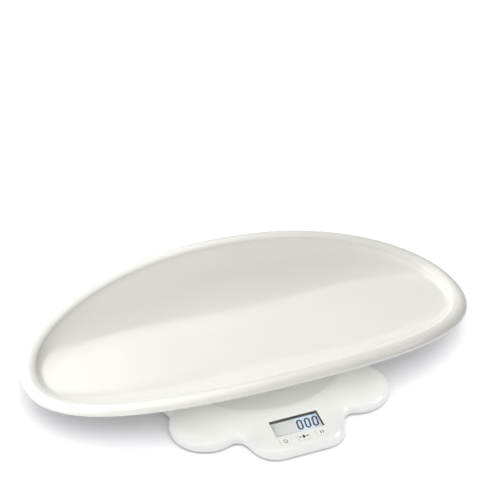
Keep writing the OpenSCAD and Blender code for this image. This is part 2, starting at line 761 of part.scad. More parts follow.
module base_cover() {
    socket = peg_radius + peg_clearance;
    key_hole_x = key_width + 2 * key_gap;
    key_hole_y = key_depth + 2 * key_gap;
    placed() color(ivory) difference() {
        union() {
            cover_shell();
            for (p = base_screw_places) translate([p[0], p[1], boss_foot])
                cylinder(r = base_boss_radius, h = deck_z(p[0], p[1]) - cover_wall / 2 - boss_foot,
                    $fn = smooth);
            at_lobes() translate([0, 0, carrier_top]) difference() {
                cylinder(r = lobe_ring_radius, h = edge_height - cover_wall / 2 - carrier_top,
                    $fn = smooth);
                translate([0, 0, -1])
                    cylinder(r = lobe_ring_radius - lobe_ring_wall, h = edge_height, $fn = smooth);
            }
            for (s = [-1, 1]) translate([s * peg_offset, 0, socket_floor - socket_wall])
                cylinder(r = socket + socket_wall, h = dish_floor - socket_floor, $fn = smooth);
            on_deck() at_board_screws() translate([0, 0, board_top])
                cylinder(r = board_post_radius, h = -cover_wall / 2 - board_top, $fn = smooth);
        }
        for (s = [-1, 1]) translate([s * peg_offset, 0, socket_floor])
            cylinder(r = socket, h = peg_length + 2, $fn = smooth);
        for (p = base_screw_places) translate([p[0], p[1], boss_foot - 1])
            cylinder(r = screw_radius + thread_play, h = base_screw_bite + hole_end + 1, $fn = smooth);
        on_deck() at_board_screws() translate([0, 0, board_top - 1])
            cylinder(r = board_screw_radius + thread_play, h = board_screw_bite + hole_end + 1,
                $fn = smooth);
        on_deck() block(window_width + 2 * frame_wall, window_height + 2 * frame_wall, -9, 9);
        for (place = [-1:1]) at_key(place) block(key_hole_x, key_hole_y, -9, 9);
    }
}

// ---------------------------------------------------------------- bottom shell

base_screw_bite = 6;            // how deep the base's screws reach into their bosses
bottom_rim_wall = 1.8;
bottom_rim = edge_height - edge_drop - boss_foot;     // as high as the cover's skirt is upright
notch_grip = 6;                 // radius of the thumb notch beside the battery door
screw_sink = 1.6;               // depth of the sunk screw heads
coin_pitch = 2 * coin_radius + coin_space;
bay_length = coin_pitch + 2 * coin_radius + 2 * coin_gap;
bay_width = 2 * coin_radius + 2 * coin_gap;
bay_ledge = 1.6;                // ledge round the bay that the door closes against
door_length = bay_length + 2 * bay_ledge;
door_width = bay_width + 2 * bay_ledge;

module base_bottom() {
    edge = cover_wall + shell_gap;
    placed() color([0.9, 0.9, 0.87]) difference() {
        union() {
            translate([0, 0, ground_gap]) linear_extrude(height = bottom_wall)
                polygon(outline(edge));
            translate([0, 0, boss_foot - bare]) linear_extrude(height = bottom_rim + bare)
                difference() {
                    polygon(outline(edge));
                    polygon(outline(edge + bottom_rim_wall));
                }
            translate([0, bay_y, 0]) block(door_length + 2 * bay_wall, door_width + 2 * bay_wall,
                ground_gap, bay_floor + bottom_wall);
            translate([0, bay_y, 0]) block(bay_length + 2 * bay_wall, bay_width + 2 * bay_wall,
                ground_gap, bay_roof + bay_wall);
        }
        translate([0, bay_y, 0]) block(bay_length, bay_width, ground_gap - 1, bay_roof);
        translate([0, bay_y, 0]) block(door_length + 2 * door_gap, door_width + 2 * door_gap,
            ground_gap - 1, bay_floor);
        // thumb notch beside the door's free edge
        translate([0, bay_y - door_width / 2, ground_gap - 1])
            cylinder(r = notch_grip, h = door_thickness + 0.5, $fn = smooth);
        at_lobes() translate([0, 0, ground_gap - 1])
            cylinder(r = stand_radius + stand_gap, h = bottom_wall + 2, $fn = smooth);
        for (p = base_screw_places) translate([p[0], p[1], ground_gap - 1]) {
            cylinder(r = screw_radius + screw_play, h = bottom_wall + 2, $fn = smooth);
            cylinder(r = screw_head_radius + screw_play, h = screw_sink + 1, $fn = smooth);
        }
    }
}
module base_screws() {
    placed() color("silver") for (p = base_screw_places)
        translate([p[0], p[1], ground_gap + screw_sink]) screw(bottom_wall - screw_sink + base_screw_bite);
}

// ---------------------------------------------------------------- battery bay

// The door's barrel lies along its rear edge, and the door swings down about it
barrel_radius = door_thickness / 2;
module battery_door() {
    rear = door_width / 2 - barrel_radius;
    placed() color([0.9, 0.9, 0.87]) translate([0, bay_y, ground_gap]) {
        translate([-door_length / 2, -door_width / 2, 0])
            cube([door_length, door_width - barrel_radius, door_thickness]);
        translate([-door_length / 2, rear, barrel_radius]) rotate([0, 90, 0])
            cylinder(r = barrel_radius, h = door_length, $fn = smooth);
        for (x = [-1, 1]) translate([x * coin_pitch / 2 - 1, -coin_radius + 2, door_thickness - bare])
            cube([2, 2 * coin_radius - 4, coin_rib + bare]);
    }
}
module coin_cells() {
    placed() color([0.8, 0.8, 0.82]) for (x = [-1, 1])
        translate([x * coin_pitch / 2, bay_y, coin_bottom]) {
            cylinder(r = coin_radius - 1, h = coin_thickness, $fn = smooth);
            cylinder(r = coin_radius, h = coin_thickness - 0.4, $fn = smooth);
        }
}
// Bent strips under the bay's roof that press on the cells
module battery_springs() {
    placed() color([0.85, 0.78, 0.5]) for (x = [-1, 1])
        translate([x * coin_pitch / 2, bay_y, 0]) {
            block(4, 12, bay_roof - contact_thickness, bay_roof);
            translate([0, 4, 0]) block(4, 1, coin_bottom + coin_thickness, bay_roof);
            translate([0, -4, 0]) block(4, 1, coin_bottom + coin_thickness, bay_roof);
        }
}
// Upright strips on the bay's end walls that touch the cells' rims
module battery_clips() {
    reach = bay_length / 2;
    placed() color([0.85, 0.78, 0.5]) for (x = [-1, 1])
        translate([x * (reach - coin_gap / 2), bay_y, 0])
            block(coin_gap, 8, coin_bottom, bay_roof);
}

// ---------------------------------------------------------------- weighing feet

module at_lobe(x, y) { placed() translate([x * lobe_x, y * lobe_y, 0]) children(); }
module carrier(x, y) {
    color([0.85, 0.85, 0.82]) at_lobe(x, y) difference() {
        translate([0, 0, cell_top]) cylinder(r = carrier_radius, h = carrier_thickness, $fn = smooth);
        translate([0, 0, cell_top - 1])
            cylinder(r = cell_side / 2 - 4, h = carrier_thickness + 2, $fn = smooth);
    }
}
// A square plate whose middle tongue is cut free on three sides
module load_cell(x, y) {
    slot = 2;
    reach = cell_side / 2 - 5;
    color([0.72, 0.73, 0.75]) at_lobe(x, y) difference() {
        block(cell_side, cell_side, cell_bottom, cell_top);
        for (s = [-1, 1]) translate([s * (cell_tongue / 2 + slot / 2), 0, 0])
            block(slot, 2 * reach, cell_bottom - 1, cell_top + 1);
        translate([0, -reach + slot / 2, 0])
            block(cell_tongue + bare, slot, cell_bottom - 1, cell_top + 1);
    }
}
module stand(x, y) {
    color([0.9, 0.9, 0.87]) at_lobe(x, y) difference() {
        union() {
            translate([0, 0, sole_thickness / 2])
                cylinder(r = stand_radius, h = ground_gap + bottom_wall - sole_thickness / 2, $fn = smooth);
            cylinder(r = cell_tongue / 2 - 1, h = cell_bottom, $fn = smooth);
        }
        translate([0, 0, -1]) cylinder(r = sole_radius, h = sole_thickness + 1, $fn = smooth);
    }
}
module sole(x, y) {
    color([0.35, 0.36, 0.37]) at_lobe(x, y)
        cylinder(r = sole_radius, h = sole_thickness, $fn = smooth);
}
module carrier_front_left() { carrier(-1, -1); }
module carrier_front_right() { carrier(1, -1); }
module carrier_rear_left() { carrier(-1, 1); }
module carrier_rear_right() { carrier(1, 1); }
module cell_front_left() { load_cell(-1, -1); }
module cell_front_right() { load_cell(1, -1); }
module cell_rear_left() { load_cell(-1, 1); }
module cell_rear_right() { load_cell(1, 1); }
module foot_front_left() { stand(-1, -1); }
module foot_front_right() { stand(1, -1); }
module foot_rear_left() { stand(-1, 1); }
module foot_rear_right() { stand(1, 1); }
module sole_front_left() { sole(-1, -1); }
module sole_front_right() { sole(1, -1); }
module sole_rear_left() { sole(-1, 1); }
module sole_rear_right() { sole(1, 1); }

// ---------------------------------------------------------------- leads

lead_rest = 0.2;                // gap between the leads and the bottom shell
lead_z = boss_foot + lead_radius + lead_rest;
lead_sides = 8;
lead_start = 6;                 // straight run of a lead from its load cell
lead_run = 11;                  // straight run of the leads behind their sockets
lead_spread = 2;                // distance of two leads in one socket from its middle
lead_stub = 2;                  // straight end of a lead, square to its socket
cell_lead_z = cell_bottom + cell_thickness / 3;
cell_lead_x = lobe_x - cell_side / 2;
cell_lead_y = lobe_y - cell_side / 7.5;
// A tube swept along a route, with rings square to the bisector at each bend
module lead(route, r) {
    n = len(route);
    function heading(i) = unit(
        unit(route[min(n - 1, i + 1)] - route[max(0, min(n - 2, i))])
        + unit(route[max(1, i)] - route[max(0, i - 1)]));
    rings = [for (i = [0:n - 1]) let (
        h = heading(i),
        side = unit(cross(h, [0, 0, 1])),
        up = cross(side, h)
    ) [for (k = [0:lead_sides - 1]) let (a = k * 360 / lead_sides)
        route[i] + r * (cos(a) * side + sin(a) * up)]];
    loft(route[0], rings, route[n - 1]);
}
socket_z = deck_middle_z + (board_bottom - socket_height / 2) * cos(deck_tilt)
    + socket_y * sin(deck_tilt);
socket_rear_y = -window_y + (socket_y + socket_depth / 2) * cos(deck_tilt)
    - (board_bottom - socket_height / 2) * sin(deck_tilt);

// Last points of a lead that ends in a socket: x is the lead's place, side is left or right
function lead_end(x, side) = [
    [side * (x + lead_spread / 2), socket_rear_y + lead_run, mix(lead_z, socket_z, 0.25)],
    [side * x, socket_rear_y + lead_stub * cos(deck_tilt), socket_z + lead_stub * sin(deck_tilt)],
    [side * x, socket_rear_y, socket_z]
];

module cell_leads() {
    placed() color([0.85, 0.2, 0.15]) for (s = [-1, 1]) {
        lead(concat([
            [s * cell_lead_x, -cell_lead_y - lead_start, cell_lead_z],
            [s * (cell_lead_x - lead_start), -cell_lead_y - lead_start, cell_lead_z],
            [s * 0.55 * lobe_x, -1.1 * lobe_y, mix(lead_z, cell_lead_z, 0.5)],
            [s * 0.33 * lobe_x, -1.16 * lobe_y, lead_z]
        ], lead_end(socket_x + lead_spread, s)), lead_radius);
        lead(concat([
            [s * cell_lead_x, cell_lead_y, cell_lead_z],
            [s * (cell_lead_x - lead_start), cell_lead_y, cell_lead_z],
            [s * 0.64 * lobe_x, 0.72 * lobe_y, lead_z],
            [s * 0.57 * lobe_x, 0.41 * lobe_y, lead_z],
            [s * 0.48 * lobe_x, -0.21 * lobe_y, lead_z],
            [s * 0.33 * lobe_x, -0.83 * lobe_y, lead_z],
            [s * 0.19 * lobe_x, -1.12 * lobe_y, lead_z]
        ], lead_end(socket_x - lead_spread, s)), lead_radius);
    }
}
module battery_leads() {
    bay_side = bay_y - door_width / 2 - bay_wall;
    placed() color([0.12, 0.12, 0.13]) for (s = [-1, 1])
        lead(concat([
            [s * coin_radius * 0.4, bay_side, lead_z],
            [s * coin_radius * 0.4, bay_side - lead_start, lead_z],
            [s * coin_radius * 0.6, 0, lead_z],
            [s * coin_radius * 0.6, -0.62 * lobe_y, lead_z],
            [s * coin_radius * 0.8, -1.1 * lobe_y, lead_z]
        ], lead_end(socket_x - 2.25 * lead_spread, s)), lead_radius);
}

tray();
tray_foot();
tray_foot_screws();
tray_pads();
base_cover();
base_bottom();
base_screws();
display_frame();
display_lens();
lcd_panel();
lcd_digits();
light_guide();
contact_strips();
main_board();
board_screws();
controller_chip();
lead_sockets();
key_power();
key_zero();
key_hold();
dome_power();
dome_zero();
dome_hold();
battery_door();
coin_cells();
battery_springs();
battery_clips();
carrier_front_left();
carrier_front_right();
carrier_rear_left();
carrier_rear_right();
cell_front_left();
cell_front_right();
cell_rear_left();
cell_rear_right();
foot_front_left();
foot_front_right();
foot_rear_left();
foot_rear_right();
sole_front_left();
sole_front_right();
sole_rear_left();
sole_rear_right();
cell_leads();
battery_leads();
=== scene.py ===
"""Looks of a digital baby weighing scale: a long oval tray that lifts off a lobed base.

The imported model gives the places. Each visible shell is drawn again here as a smooth mesh from the
same named sizes, in millimetres about the middle of the base's round dish, and is then moved into
the model's own frame, in metres.
"""
import math

import bmesh
import bpy
import numpy as np
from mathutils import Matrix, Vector


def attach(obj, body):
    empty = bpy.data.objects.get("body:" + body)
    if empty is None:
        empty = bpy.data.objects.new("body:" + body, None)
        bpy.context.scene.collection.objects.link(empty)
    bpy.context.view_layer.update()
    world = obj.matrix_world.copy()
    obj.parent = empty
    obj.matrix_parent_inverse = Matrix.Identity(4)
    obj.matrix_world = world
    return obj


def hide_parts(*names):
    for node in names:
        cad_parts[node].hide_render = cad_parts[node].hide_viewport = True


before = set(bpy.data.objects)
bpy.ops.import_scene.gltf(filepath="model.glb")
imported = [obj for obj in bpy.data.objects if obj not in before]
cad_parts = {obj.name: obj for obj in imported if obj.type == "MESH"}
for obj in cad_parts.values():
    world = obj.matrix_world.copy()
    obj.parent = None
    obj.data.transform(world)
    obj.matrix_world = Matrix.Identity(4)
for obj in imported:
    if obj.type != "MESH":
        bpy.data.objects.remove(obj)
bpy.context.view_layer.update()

MM = 0.001

# ------------------------------------------------------------------ camera

eye = Vector((-0.4234, -1.1021, 0.9681))           # fitted to the outlines in the photo, in metres
aim = Vector((0.0163, 0.0610, 0.1291))
camera = bpy.data.objects.new("camera", bpy.data.cameras.new("camera"))
bpy.context.collection.objects.link(camera)
camera.location = eye
camera.rotation_euler = (aim - eye).to_track_quat("-Z", "Y").to_euler()
camera.data.sensor_width = 36
camera.data.lens = 91.2
camera.data.clip_end = 20
bpy.context.scene.camera = camera

# ------------------------------------------------------------------ named sizes, in millimetres

# tray: its outline, the fall of its rim from mid length to the tips, its wall and its floor
tray_length, tray_width, tray_depth = 550, 296, 52.4
tray_plan_power, floor_plan_power = 2.16, 2.83
rim_fall, rim_sweep_power = 35.6, 2.08
rim_width, rim_drop_out, rim_drop_in, rim_lip = 19.4, 6.3, 7.4, 1.2
side_wall_run, tip_wall_run, tip_wall_rise = 66.2, 11, 1
floor_fillet, tray_wall, tray_skin = 15, 3, 3.45

# the foot under the tray and the tray's rib that it fits
foot_radius, foot_end_offset, foot_wall, foot_top = 58, 40, 2.5, 32.0
tray_rib, seat_height = 1.2, 3.0
tray_floor = foot_top + tray_rib + tray_wall
crest_middle = tray_floor + tray_depth
crest_tips = crest_middle - rim_fall
tip_floor = crest_tips - rim_drop_in - tip_wall_rise
foot_screw_x, foot_screw_y = 64, 34

# base: a round middle, four corner lobes, and the lobe of the display at the front
disc_radius, lobe_radius, notch_radius, lobe_inset = 141, 41.5, 14, 8.4
lobe_direction = math.radians(46.7)
lobe_x = (disc_radius - lobe_inset) * math.cos(lobe_direction)
lobe_y = (disc_radius - lobe_inset) * math.sin(lobe_direction)
display_out, display_side = 35.5, 27.5
display_reach = disc_radius + display_out
display_corner_radius, valley_radius, valley_straight = 30, 13, 13.9
window_width, window_height = 57, 24.1
window_y = 143.3
tilt, deck_middle_z = math.radians(4.15964), 19.869  # slope of the deck, height at the window
edge_height, edge_width, edge_drop = 18, 7.5, 9
ridge_inset, ridge_height, dish_depth = 27, 22, 5.5
ridge_radius = disc_radius - ridge_inset
dish_floor = ridge_height - dish_depth
cover_wall, ground_gap, bottom_wall = 2.5, 4.5, 2.5
peg_offset, peg_socket_radius, peg_socket_floor = 80, 6.4, 13.0

# panel and keys, from the deck's face; feet and battery door
panel_face = -2.9
key_row, key_pitch, key_width, key_depth, key_gap = 20.9, 21.6, 12.6, 8.4, 0.25
key_stand, cap_bottom, flange_bottom, key_flange = 0.6, -2.8, -3.5, 0.6
sole_radius, stand_radius = 12.5, 15.0
bay_y, door_length, door_width, door_thickness = 52, 47.0, 24.0, 2.0
shift_y = (display_reach - tray_width / 2) / 2     # from the dish's middle to the object's middle

# ------------------------------------------------------------------ small geometry helpers


def mix(a, b, t):
    return a + (b - a) * t


def blend_points(p, q, t):
    return tuple(mix(a, b, t) for a, b in zip(p, q))


def signed_power(c, power):
    """A power that keeps the sign of its base."""
    return math.copysign(abs(c) ** power, c)


def ease(t):
    """A share that starts and ends softly."""
    return (1 - math.cos(math.pi * t)) / 2


def spread(first, last, count):
    """Evenly spaced values from the first to the last."""
    return [mix(first, last, i / (count - 1)) for i in range(count)]


def deck_point(x, y, z=0.0):
    """A point on the display deck: x to the right, y up the deck from the window's middle."""
    return (x, -window_y + y * math.cos(tilt) - z * math.sin(tilt),
            deck_middle_z + y * math.sin(tilt) + z * math.cos(tilt))


def build(name, verts, faces, material, smooth_angle=None):
    """A mesh object from points in millimetres about the dish's middle."""
    mesh = bpy.data.meshes.new(name)
    mesh.from_pydata([(x * MM, (y + shift_y) * MM, z * MM) for x, y, z in verts], [], faces)
    tidy = bmesh.new()
    tidy.from_mesh(mesh)
    bmesh.ops.remove_doubles(tidy, verts=tidy.verts, dist=1e-7)
    bmesh.ops.recalc_face_normals(tidy, faces=tidy.faces)
    tidy.to_mesh(mesh)
    tidy.free()
    mesh.materials.append(material)
    obj = bpy.data.objects.new(name, mesh)
    bpy.context.collection.objects.link(obj)
    mesh.polygons.foreach_set("use_smooth", [True] * len(mesh.polygons))
    if smooth_angle:
        mesh.set_sharp_from_angle(angle=math.radians(smooth_angle))
    return obj


def ring_faces(count, rings, first=0, closed_section=False):
    """Quads between rings that each have the same number of points."""
    faces = []
    for k in range(rings if closed_section else rings - 1):
        a, b = first + k * count, first + ((k + 1) % rings) * count
        for i in range(count):
            j = (i + 1) % count
            faces.append((a + i, a + j, b + j, b + i))
    return faces


def loft(name, rings, material, smooth_angle=None):
    """A closed body through rings of points, with its two ends filled."""
    count = len(rings[0])
    verts = [p for ring in rings for p in ring]
    faces = ring_faces(count, len(rings))
    for ring, base in ((rings[0], 0), (rings[-1], (len(rings) - 1) * count)):
        verts.append(tuple(sum(p[k] for p in ring) / count for k in range(3)))
        pole = len(verts) - 1
        faces += [(base + i, base + (i + 1) % count, pole) for i in range(count)]
    return build(name, verts, faces, material, smooth_angle)


def circle(x, y, radius, z, count=72):
    """Points round an upright line at one height."""
    return [(x + radius * math.cos(2 * math.pi * i / count),
             y + radius * math.sin(2 * math.pi * i / count), z) for i in range(count)]


def turned(name, x, y, profile, material, count=72, smooth_angle=35):
    """A round body about an upright line: the profile is a list of radius and height."""
    return loft(name, [circle(x, y, r, z, count) for r, z in profile], material, smooth_angle)


def rounded_box_ring(width, depth, corner, steps=6):
    """Points round a rectangle with round corners, about its own middle."""
    points = []
    for k, (sx, sy) in enumerate(((1, 1), (-1, 1), (-1, -1), (1, -1))):
        cx, cy = sx * (width / 2 - corner), sy * (depth / 2 - corner)
        for i in range(steps + 1):
            a = math.pi / 2 * (k + i / steps)
            points.append((cx + corner * math.cos(a), cy + corner * math.sin(a)))
    return points


# ------------------------------------------------------------------ materials


def ink(code):
    """Turns an sRGB hex colour into the linear colour that the shaders take."""
    parts = [int(code[i:i + 2], 16) / 255 for i in (1, 3, 5)]
    return tuple(c / 12.92 if c <= 0.04045 else ((c + 0.055) / 1.055) ** 2.4 for c in parts) + (1,)


def add(material, kind, settings=None, links=None):
    """Adds one node with its settings and links to a material and returns it."""
    node = material.node_tree.nodes.new(kind)
    for key, value in (settings or {}).items():
        if isinstance(key, int) or key in node.inputs:
            node.inputs[key].default_value = value
        else:
            setattr(node, key, value)
    for key, source in (links or {}).items():
        material.node_tree.links.new(source, node.inputs[key])
    return node


def start(name):
    """A new material with an empty node tree."""
    material = bpy.data.materials.new(name)
    material.use_nodes = True
    material.node_tree.nodes.clear()
    return material


def finish(material, shader):
    """Sends a shader to the material's surface and returns the material."""
    add(material, "ShaderNodeOutputMaterial", links={"Surface": shader})
    return material


def per_metre(size_mm):
    """Noise scale whose features are about this many millimetres across."""
    return 1 / (size_mm * MM)


def moulded_gloss_abs(name, dark, light):
    """ABS from a polished mould: an even ivory with a soft gloss.

    The eye sees broad highlights that waver a little, because the skin sinks by hundredths of a
    millimetre over a few centimetres, and a faint mottle in the gloss from handling.
    """
    m = start(name)
    place = add(m, "ShaderNodeTexCoord").outputs["Object"]
    broad = add(m, "ShaderNodeTexNoise", {"Scale": per_metre(90)}, {"Vector": place})
    tone = add(m, "ShaderNodeMix", {"data_type": "RGBA", 6: ink(dark), 7: ink(light)},
               {0: broad.outputs["Fac"]})
    handled = add(m, "ShaderNodeTexNoise", {"Scale": per_metre(25), "Detail": 3.0},
                  {"Vector": place})
    gloss = add(m, "ShaderNodeMapRange", {"To Min": 0.16, "To Max": 0.26},
                {"Value": handled.outputs["Fac"]})
    waves = add(m, "ShaderNodeTexNoise", {"Scale": per_metre(38), "Detail": 1.0},
                {"Vector": place})
    sink = add(m, "ShaderNodeBump", {"Strength": 0.05, "Distance": 0.0004},
               {"Height": waves.outputs["Fac"]})
    peel = add(m, "ShaderNodeTexNoise", {"Scale": per_metre(2.2)}, {"Vector": place})
    skin = add(m, "ShaderNodeBump", {"Strength": 0.04, "Distance": 0.00005},
               {"Height": peel.outputs["Fac"], "Normal": sink.outputs["Normal"]})
    return finish(m, add(m, "ShaderNodeBsdfPrincipled", {"IOR": 1.54}, {
        "Base Color": tone.outputs[2], "Roughness": gloss.outputs["Result"],
        "Normal": skin.outputs["Normal"]}).outputs[0])


def spark_eroded_abs(name, dark, light):
    """ABS from a spark eroded mould: the same ivory with a fine dull grain.

    Real grain is about 0.1 mm, too fine to show, so it is drawn coarser, at 0.7 mm.
    """
    m = start(name)
    place = add(m, "ShaderNodeTexCoord").outputs["Object"]
    broad = add(m, "ShaderNodeTexNoise", {"Scale": per_metre(40)}, {"Vector": place})
    tone = add(m, "ShaderNodeMix", {"data_type": "RGBA", 6: ink(dark), 7: ink(light)},
               {0: broad.outputs["Fac"]})
    grain = add(m, "ShaderNodeTexNoise", {"Scale": per_metre(0.7), "Detail": 3.0},
                {"Vector": place})
    dull = add(m, "ShaderNodeMapRange", {"To Min": 0.5, "To Max": 0.66},
               {"Value": grain.outputs["Fac"]})
    relief = add(m, "ShaderNodeBump", {"Strength": 0.3, "Distance": 0.0001},
                 {"Height": grain.outputs["Fac"]})
    return finish(m, add(m, "ShaderNodeBsdfPrincipled", {"IOR": 1.54}, {
        "Base Color": tone.outputs[2], "Roughness": dull.outputs["Result"],
        "Normal": relief.outputs["Normal"]}).outputs[0])


def plain_moulding(name, dark, light, roughness, grain_mm, depth_mm, ior=1.5):
    """A moulded plastic, rubber or resin: the eye sees a fine grain and a slightly uneven tone.

    The caller gives the grain's size and depth. Grain below 0.3 mm would not show and is drawn
    at 0.3 mm.
    """
    m = start(name)
    place = add(m, "ShaderNodeTexCoord").outputs["Object"]
    broad = add(m, "ShaderNodeTexNoise", {"Scale": per_metre(grain_mm * 9)}, {"Vector": place})
    tone = add(m, "ShaderNodeMix", {"data_type": "RGBA", 6: ink(dark), 7: ink(light)},
               {0: broad.outputs["Fac"]})
    grain = add(m, "ShaderNodeTexNoise", {"Scale": per_metre(grain_mm)}, {"Vector": place})
    dull = add(m, "ShaderNodeMapRange", {"To Min": roughness - 0.05, "To Max": roughness + 0.06},
               {"Value": grain.outputs["Fac"]})
    relief = add(m, "ShaderNodeBump", {"Strength": 0.4, "Distance": depth_mm * MM},
                 {"Height": grain.outputs["Fac"]})
    return finish(m, add(m, "ShaderNodeBsdfPrincipled", {"IOR": ior}, {
        "Base Color": tone.outputs[2], "Roughness": dull.outputs["Result"],
        "Normal": relief.outputs["Normal"]}).outputs[0])


def plated_metal(name, dark, light, roughness, stretch=(1, 1, 1)):
    """Zinc or nickel plate: a bright metal with faint drawn lines and a patchy haze.

    The lines are a few hundredths of a millimetre apart in truth and drawn at 0.6 mm.
    """
    m = start(name)
    place = add(m, "ShaderNodeTexCoord").outputs["Object"]
    patch = add(m, "ShaderNodeTexNoise", {"Scale": per_metre(4)}, {"Vector": place})
    tone = add(m, "ShaderNodeMix", {"data_type": "RGBA", 6: ink(dark), 7: ink(light)},
               {0: patch.outputs["Fac"]})
    drawn = add(m, "ShaderNodeMapping", {"Scale": stretch}, {"Vector": place})
    lines = add(m, "ShaderNodeTexNoise", {"Scale": per_metre(0.6), "Detail": 3.0},
                {"Vector": drawn.outputs["Vector"]})
    haze = add(m, "ShaderNodeMapRange", {"To Min": roughness - 0.07, "To Max": roughness + 0.09},
               {"Value": lines.outputs["Fac"]})
    relief = add(m, "ShaderNodeBump", {"Strength": 0.15, "Distance": 0.00003},
                 {"Height": lines.outputs["Fac"]})
    return finish(m, add(m, "ShaderNodeBsdfPrincipled", {"Metallic": 1.0}, {
        "Base Color": tone.outputs[2], "Roughness": haze.outputs["Result"],
        "Normal": relief.outputs["Normal"]}).outputs[0])


def clear_acrylic(name):
    """Cast acrylic for the window: the eye sees clear plastic with faint wiped smears.

    Shadow rays pass, so lamps reach the panel below it.
    """
    m = start(name)
    place = add(m, "ShaderNodeTexCoord").outputs["Object"]
    smear = add(m, "ShaderNodeTexNoise", {"Scale": per_metre(9)}, {"Vector": place})
    polish = add(m, "ShaderNodeMapRange", {"To Min": 0.01, "To Max": 0.06},
                 {"Value": smear.outputs["Fac"]})
    body = add(m, "ShaderNodeBsdfPrincipled", {
        "Base Color": ink("#fbfdfd"), "IOR": 1.49, "Transmission Weight": 1.0},
        {"Roughness": polish.outputs["Result"]})
    passing = add(m, "ShaderNodeBsdfTransparent", {"Color": ink("#f8fbfb")})
    rays = add(m, "ShaderNodeLightPath")
    return finish(m, add(m, "ShaderNodeMixShader", links={
        0: rays.outputs["Is Shadow Ray"], 1: body.outputs[0],
        2: passing.outputs[0]}).outputs[0])


def liquid_crystal_glass(name):
    """A reflective liquid crystal panel: neutral silver grey, pale blue round the digits.

    The grey comes from the brushed reflector foil behind the glass, drawn as faint level lines,
    0.5 mm apart where the real ones are finer.
    """
    m = start(name)
    place = add(m, "ShaderNodeTexCoord").outputs["Object"]
    across = add(m, "ShaderNodeSeparateXYZ", links={0: place})
    driven = add(m, "ShaderNodeMapRange", {"From Min": -0.0025, "From Max": 0.0035},
                 {"Value": across.outputs["X"]})
    brushed = add(m, "ShaderNodeMapping", {"Scale": (0.15, 1, 1)}, {"Vector": place})
    foil = add(m, "ShaderNodeTexNoise", {"Scale": per_metre(0.5)},
               {"Vector": brushed.outputs["Vector"]})
    silver = add(m, "ShaderNodeMix", {"data_type": "RGBA", 6: ink("#bab9b9"), 7: ink("#c3c2c2")},
                 {0: foil.outputs["Fac"]})
    tone = add(m, "ShaderNodeMix", {"data_type": "RGBA", 7: ink("#c2cfe2")},
               {0: driven.outputs["Result"], 6: silver.outputs[2]})
    dull = add(m, "ShaderNodeMapRange", {"To Min": 0.3, "To Max": 0.42},
               {"Value": foil.outputs["Fac"]})
    return finish(m, add(m, "ShaderNodeBsdfPrincipled", {"IOR": 1.5}, {
        "Base Color": tone.outputs[2], "Roughness": dull.outputs["Result"]}).outputs[0])


def striped_elastomer(name):
    """Contact strip: the eye sees carbon filled and plain silicone in turn, 0.4 mm apart."""
    m = start(name)
    place = add(m, "ShaderNodeTexCoord").outputs["Object"]
    bands = add(m, "ShaderNodeTexWave", {"Scale": per_metre(0.4) / 20, "Distortion": 0.0},
                {"Vector": place})
    tone = add(m, "ShaderNodeMix", {"data_type": "RGBA", 6: ink("#3c2a2e"), 7: ink("#c9989c")},
               {0: bands.outputs["Fac"]})
    return finish(m, add(m, "ShaderNodeBsdfPrincipled", {"Roughness": 0.6, "IOR": 1.42},
                         {"Base Color": tone.outputs[2]}).outputs[0])


def woven_glass_laminate(name):
    """Circuit board: green solder mask over woven glass, whose threads lie 0.5 mm apart."""
    m = start(name)
    place = add(m, "ShaderNodeTexCoord").outputs["Object"]
    cloudy = add(m, "ShaderNodeTexNoise", {"Scale": per_metre(6)}, {"Vector": place})
    tone = add(m, "ShaderNodeMix", {"data_type": "RGBA", 6: ink("#175c33"), 7: ink("#1f7040")},
               {0: cloudy.outputs["Fac"]})
    threads = add(m, "ShaderNodeTexChecker", {"Scale": per_metre(0.5)}, {"Vector": place})
    relief = add(m, "ShaderNodeBump", {"Strength": 0.2, "Distance": 0.00003},
                 {"Height": threads.outputs["Fac"]})
    return finish(m, add(m, "ShaderNodeBsdfPrincipled", {"Roughness": 0.3, "IOR": 1.55}, {
        "Base Color": tone.outputs[2], "Normal": relief.outputs["Normal"]}).outputs[0])


ivory = moulded_gloss_abs("gloss_abs_tray", "#e9e8e3", "#ecebe7")
ivory_cover = moulded_gloss_abs("gloss_abs_cover", "#eff0ee", "#f3f4f2")
eroded = spark_eroded_abs("spark_eroded_abs", "#e3e2d8", "#e8e7de")
key_cap = plain_moulding("satin_abs_keys", "#f3f3f0", "#f6f6f4", 0.33, 0.5, 0.02)
pad_ink = plain_moulding("pad_printed_ink", "#34373a", "#404347", 0.55, 0.3, 0.01)
black_pc = plain_moulding("matt_black_polycarbonate", "#0d1016", "#171b22", 0.55, 0.4, 0.02)
acrylic = clear_acrylic("cast_acrylic")
crystal = liquid_crystal_glass("liquid_crystal_glass")
segment = plain_moulding("liquid_crystal_segment", "#121a24", "#1b2632", 0.4, 0.4, 0.002)
diffuser = plain_moulding("milky_acrylic_guide", "#eef2f6", "#f7f9fb", 0.35, 0.6, 0.01, 1.49)
elastomer = striped_elastomer("striped_silicone")
laminate = woven_glass_laminate("glass_fibre_laminate")
epoxy = plain_moulding("black_epoxy_drop", "#0a0a0b", "#141415", 0.28, 1.2, 0.02, 1.55)
nylon = plain_moulding("natural_nylon", "#dcdace", "#e6e4d9", 0.48, 0.5, 0.02, 1.53)
silicone = plain_moulding("grey_silicone", "#a6a8a4", "#b3b5b1", 0.5, 0.6, 0.02, 1.42)
rubber = plain_moulding("soft_grey_rubber", "#46484a", "#525456", 0.72, 0.7, 0.05, 1.5)
zinc = plated_metal("zinc_plated_steel", "#b4b6b8", "#cdcfd0", 0.3)
spring_steel = plated_metal("nickel_plated_spring_steel", "#a9abae", "#c3c5c8", 0.28, (0.1, 1, 1))
can_steel = plated_metal("deep_drawn_stainless", "#c0c1c2", "#d6d7d8", 0.2)
contact = plated_metal("nickel_plated_contact", "#c3bda9", "#d8d3c2", 0.26, (1, 0.1, 1))
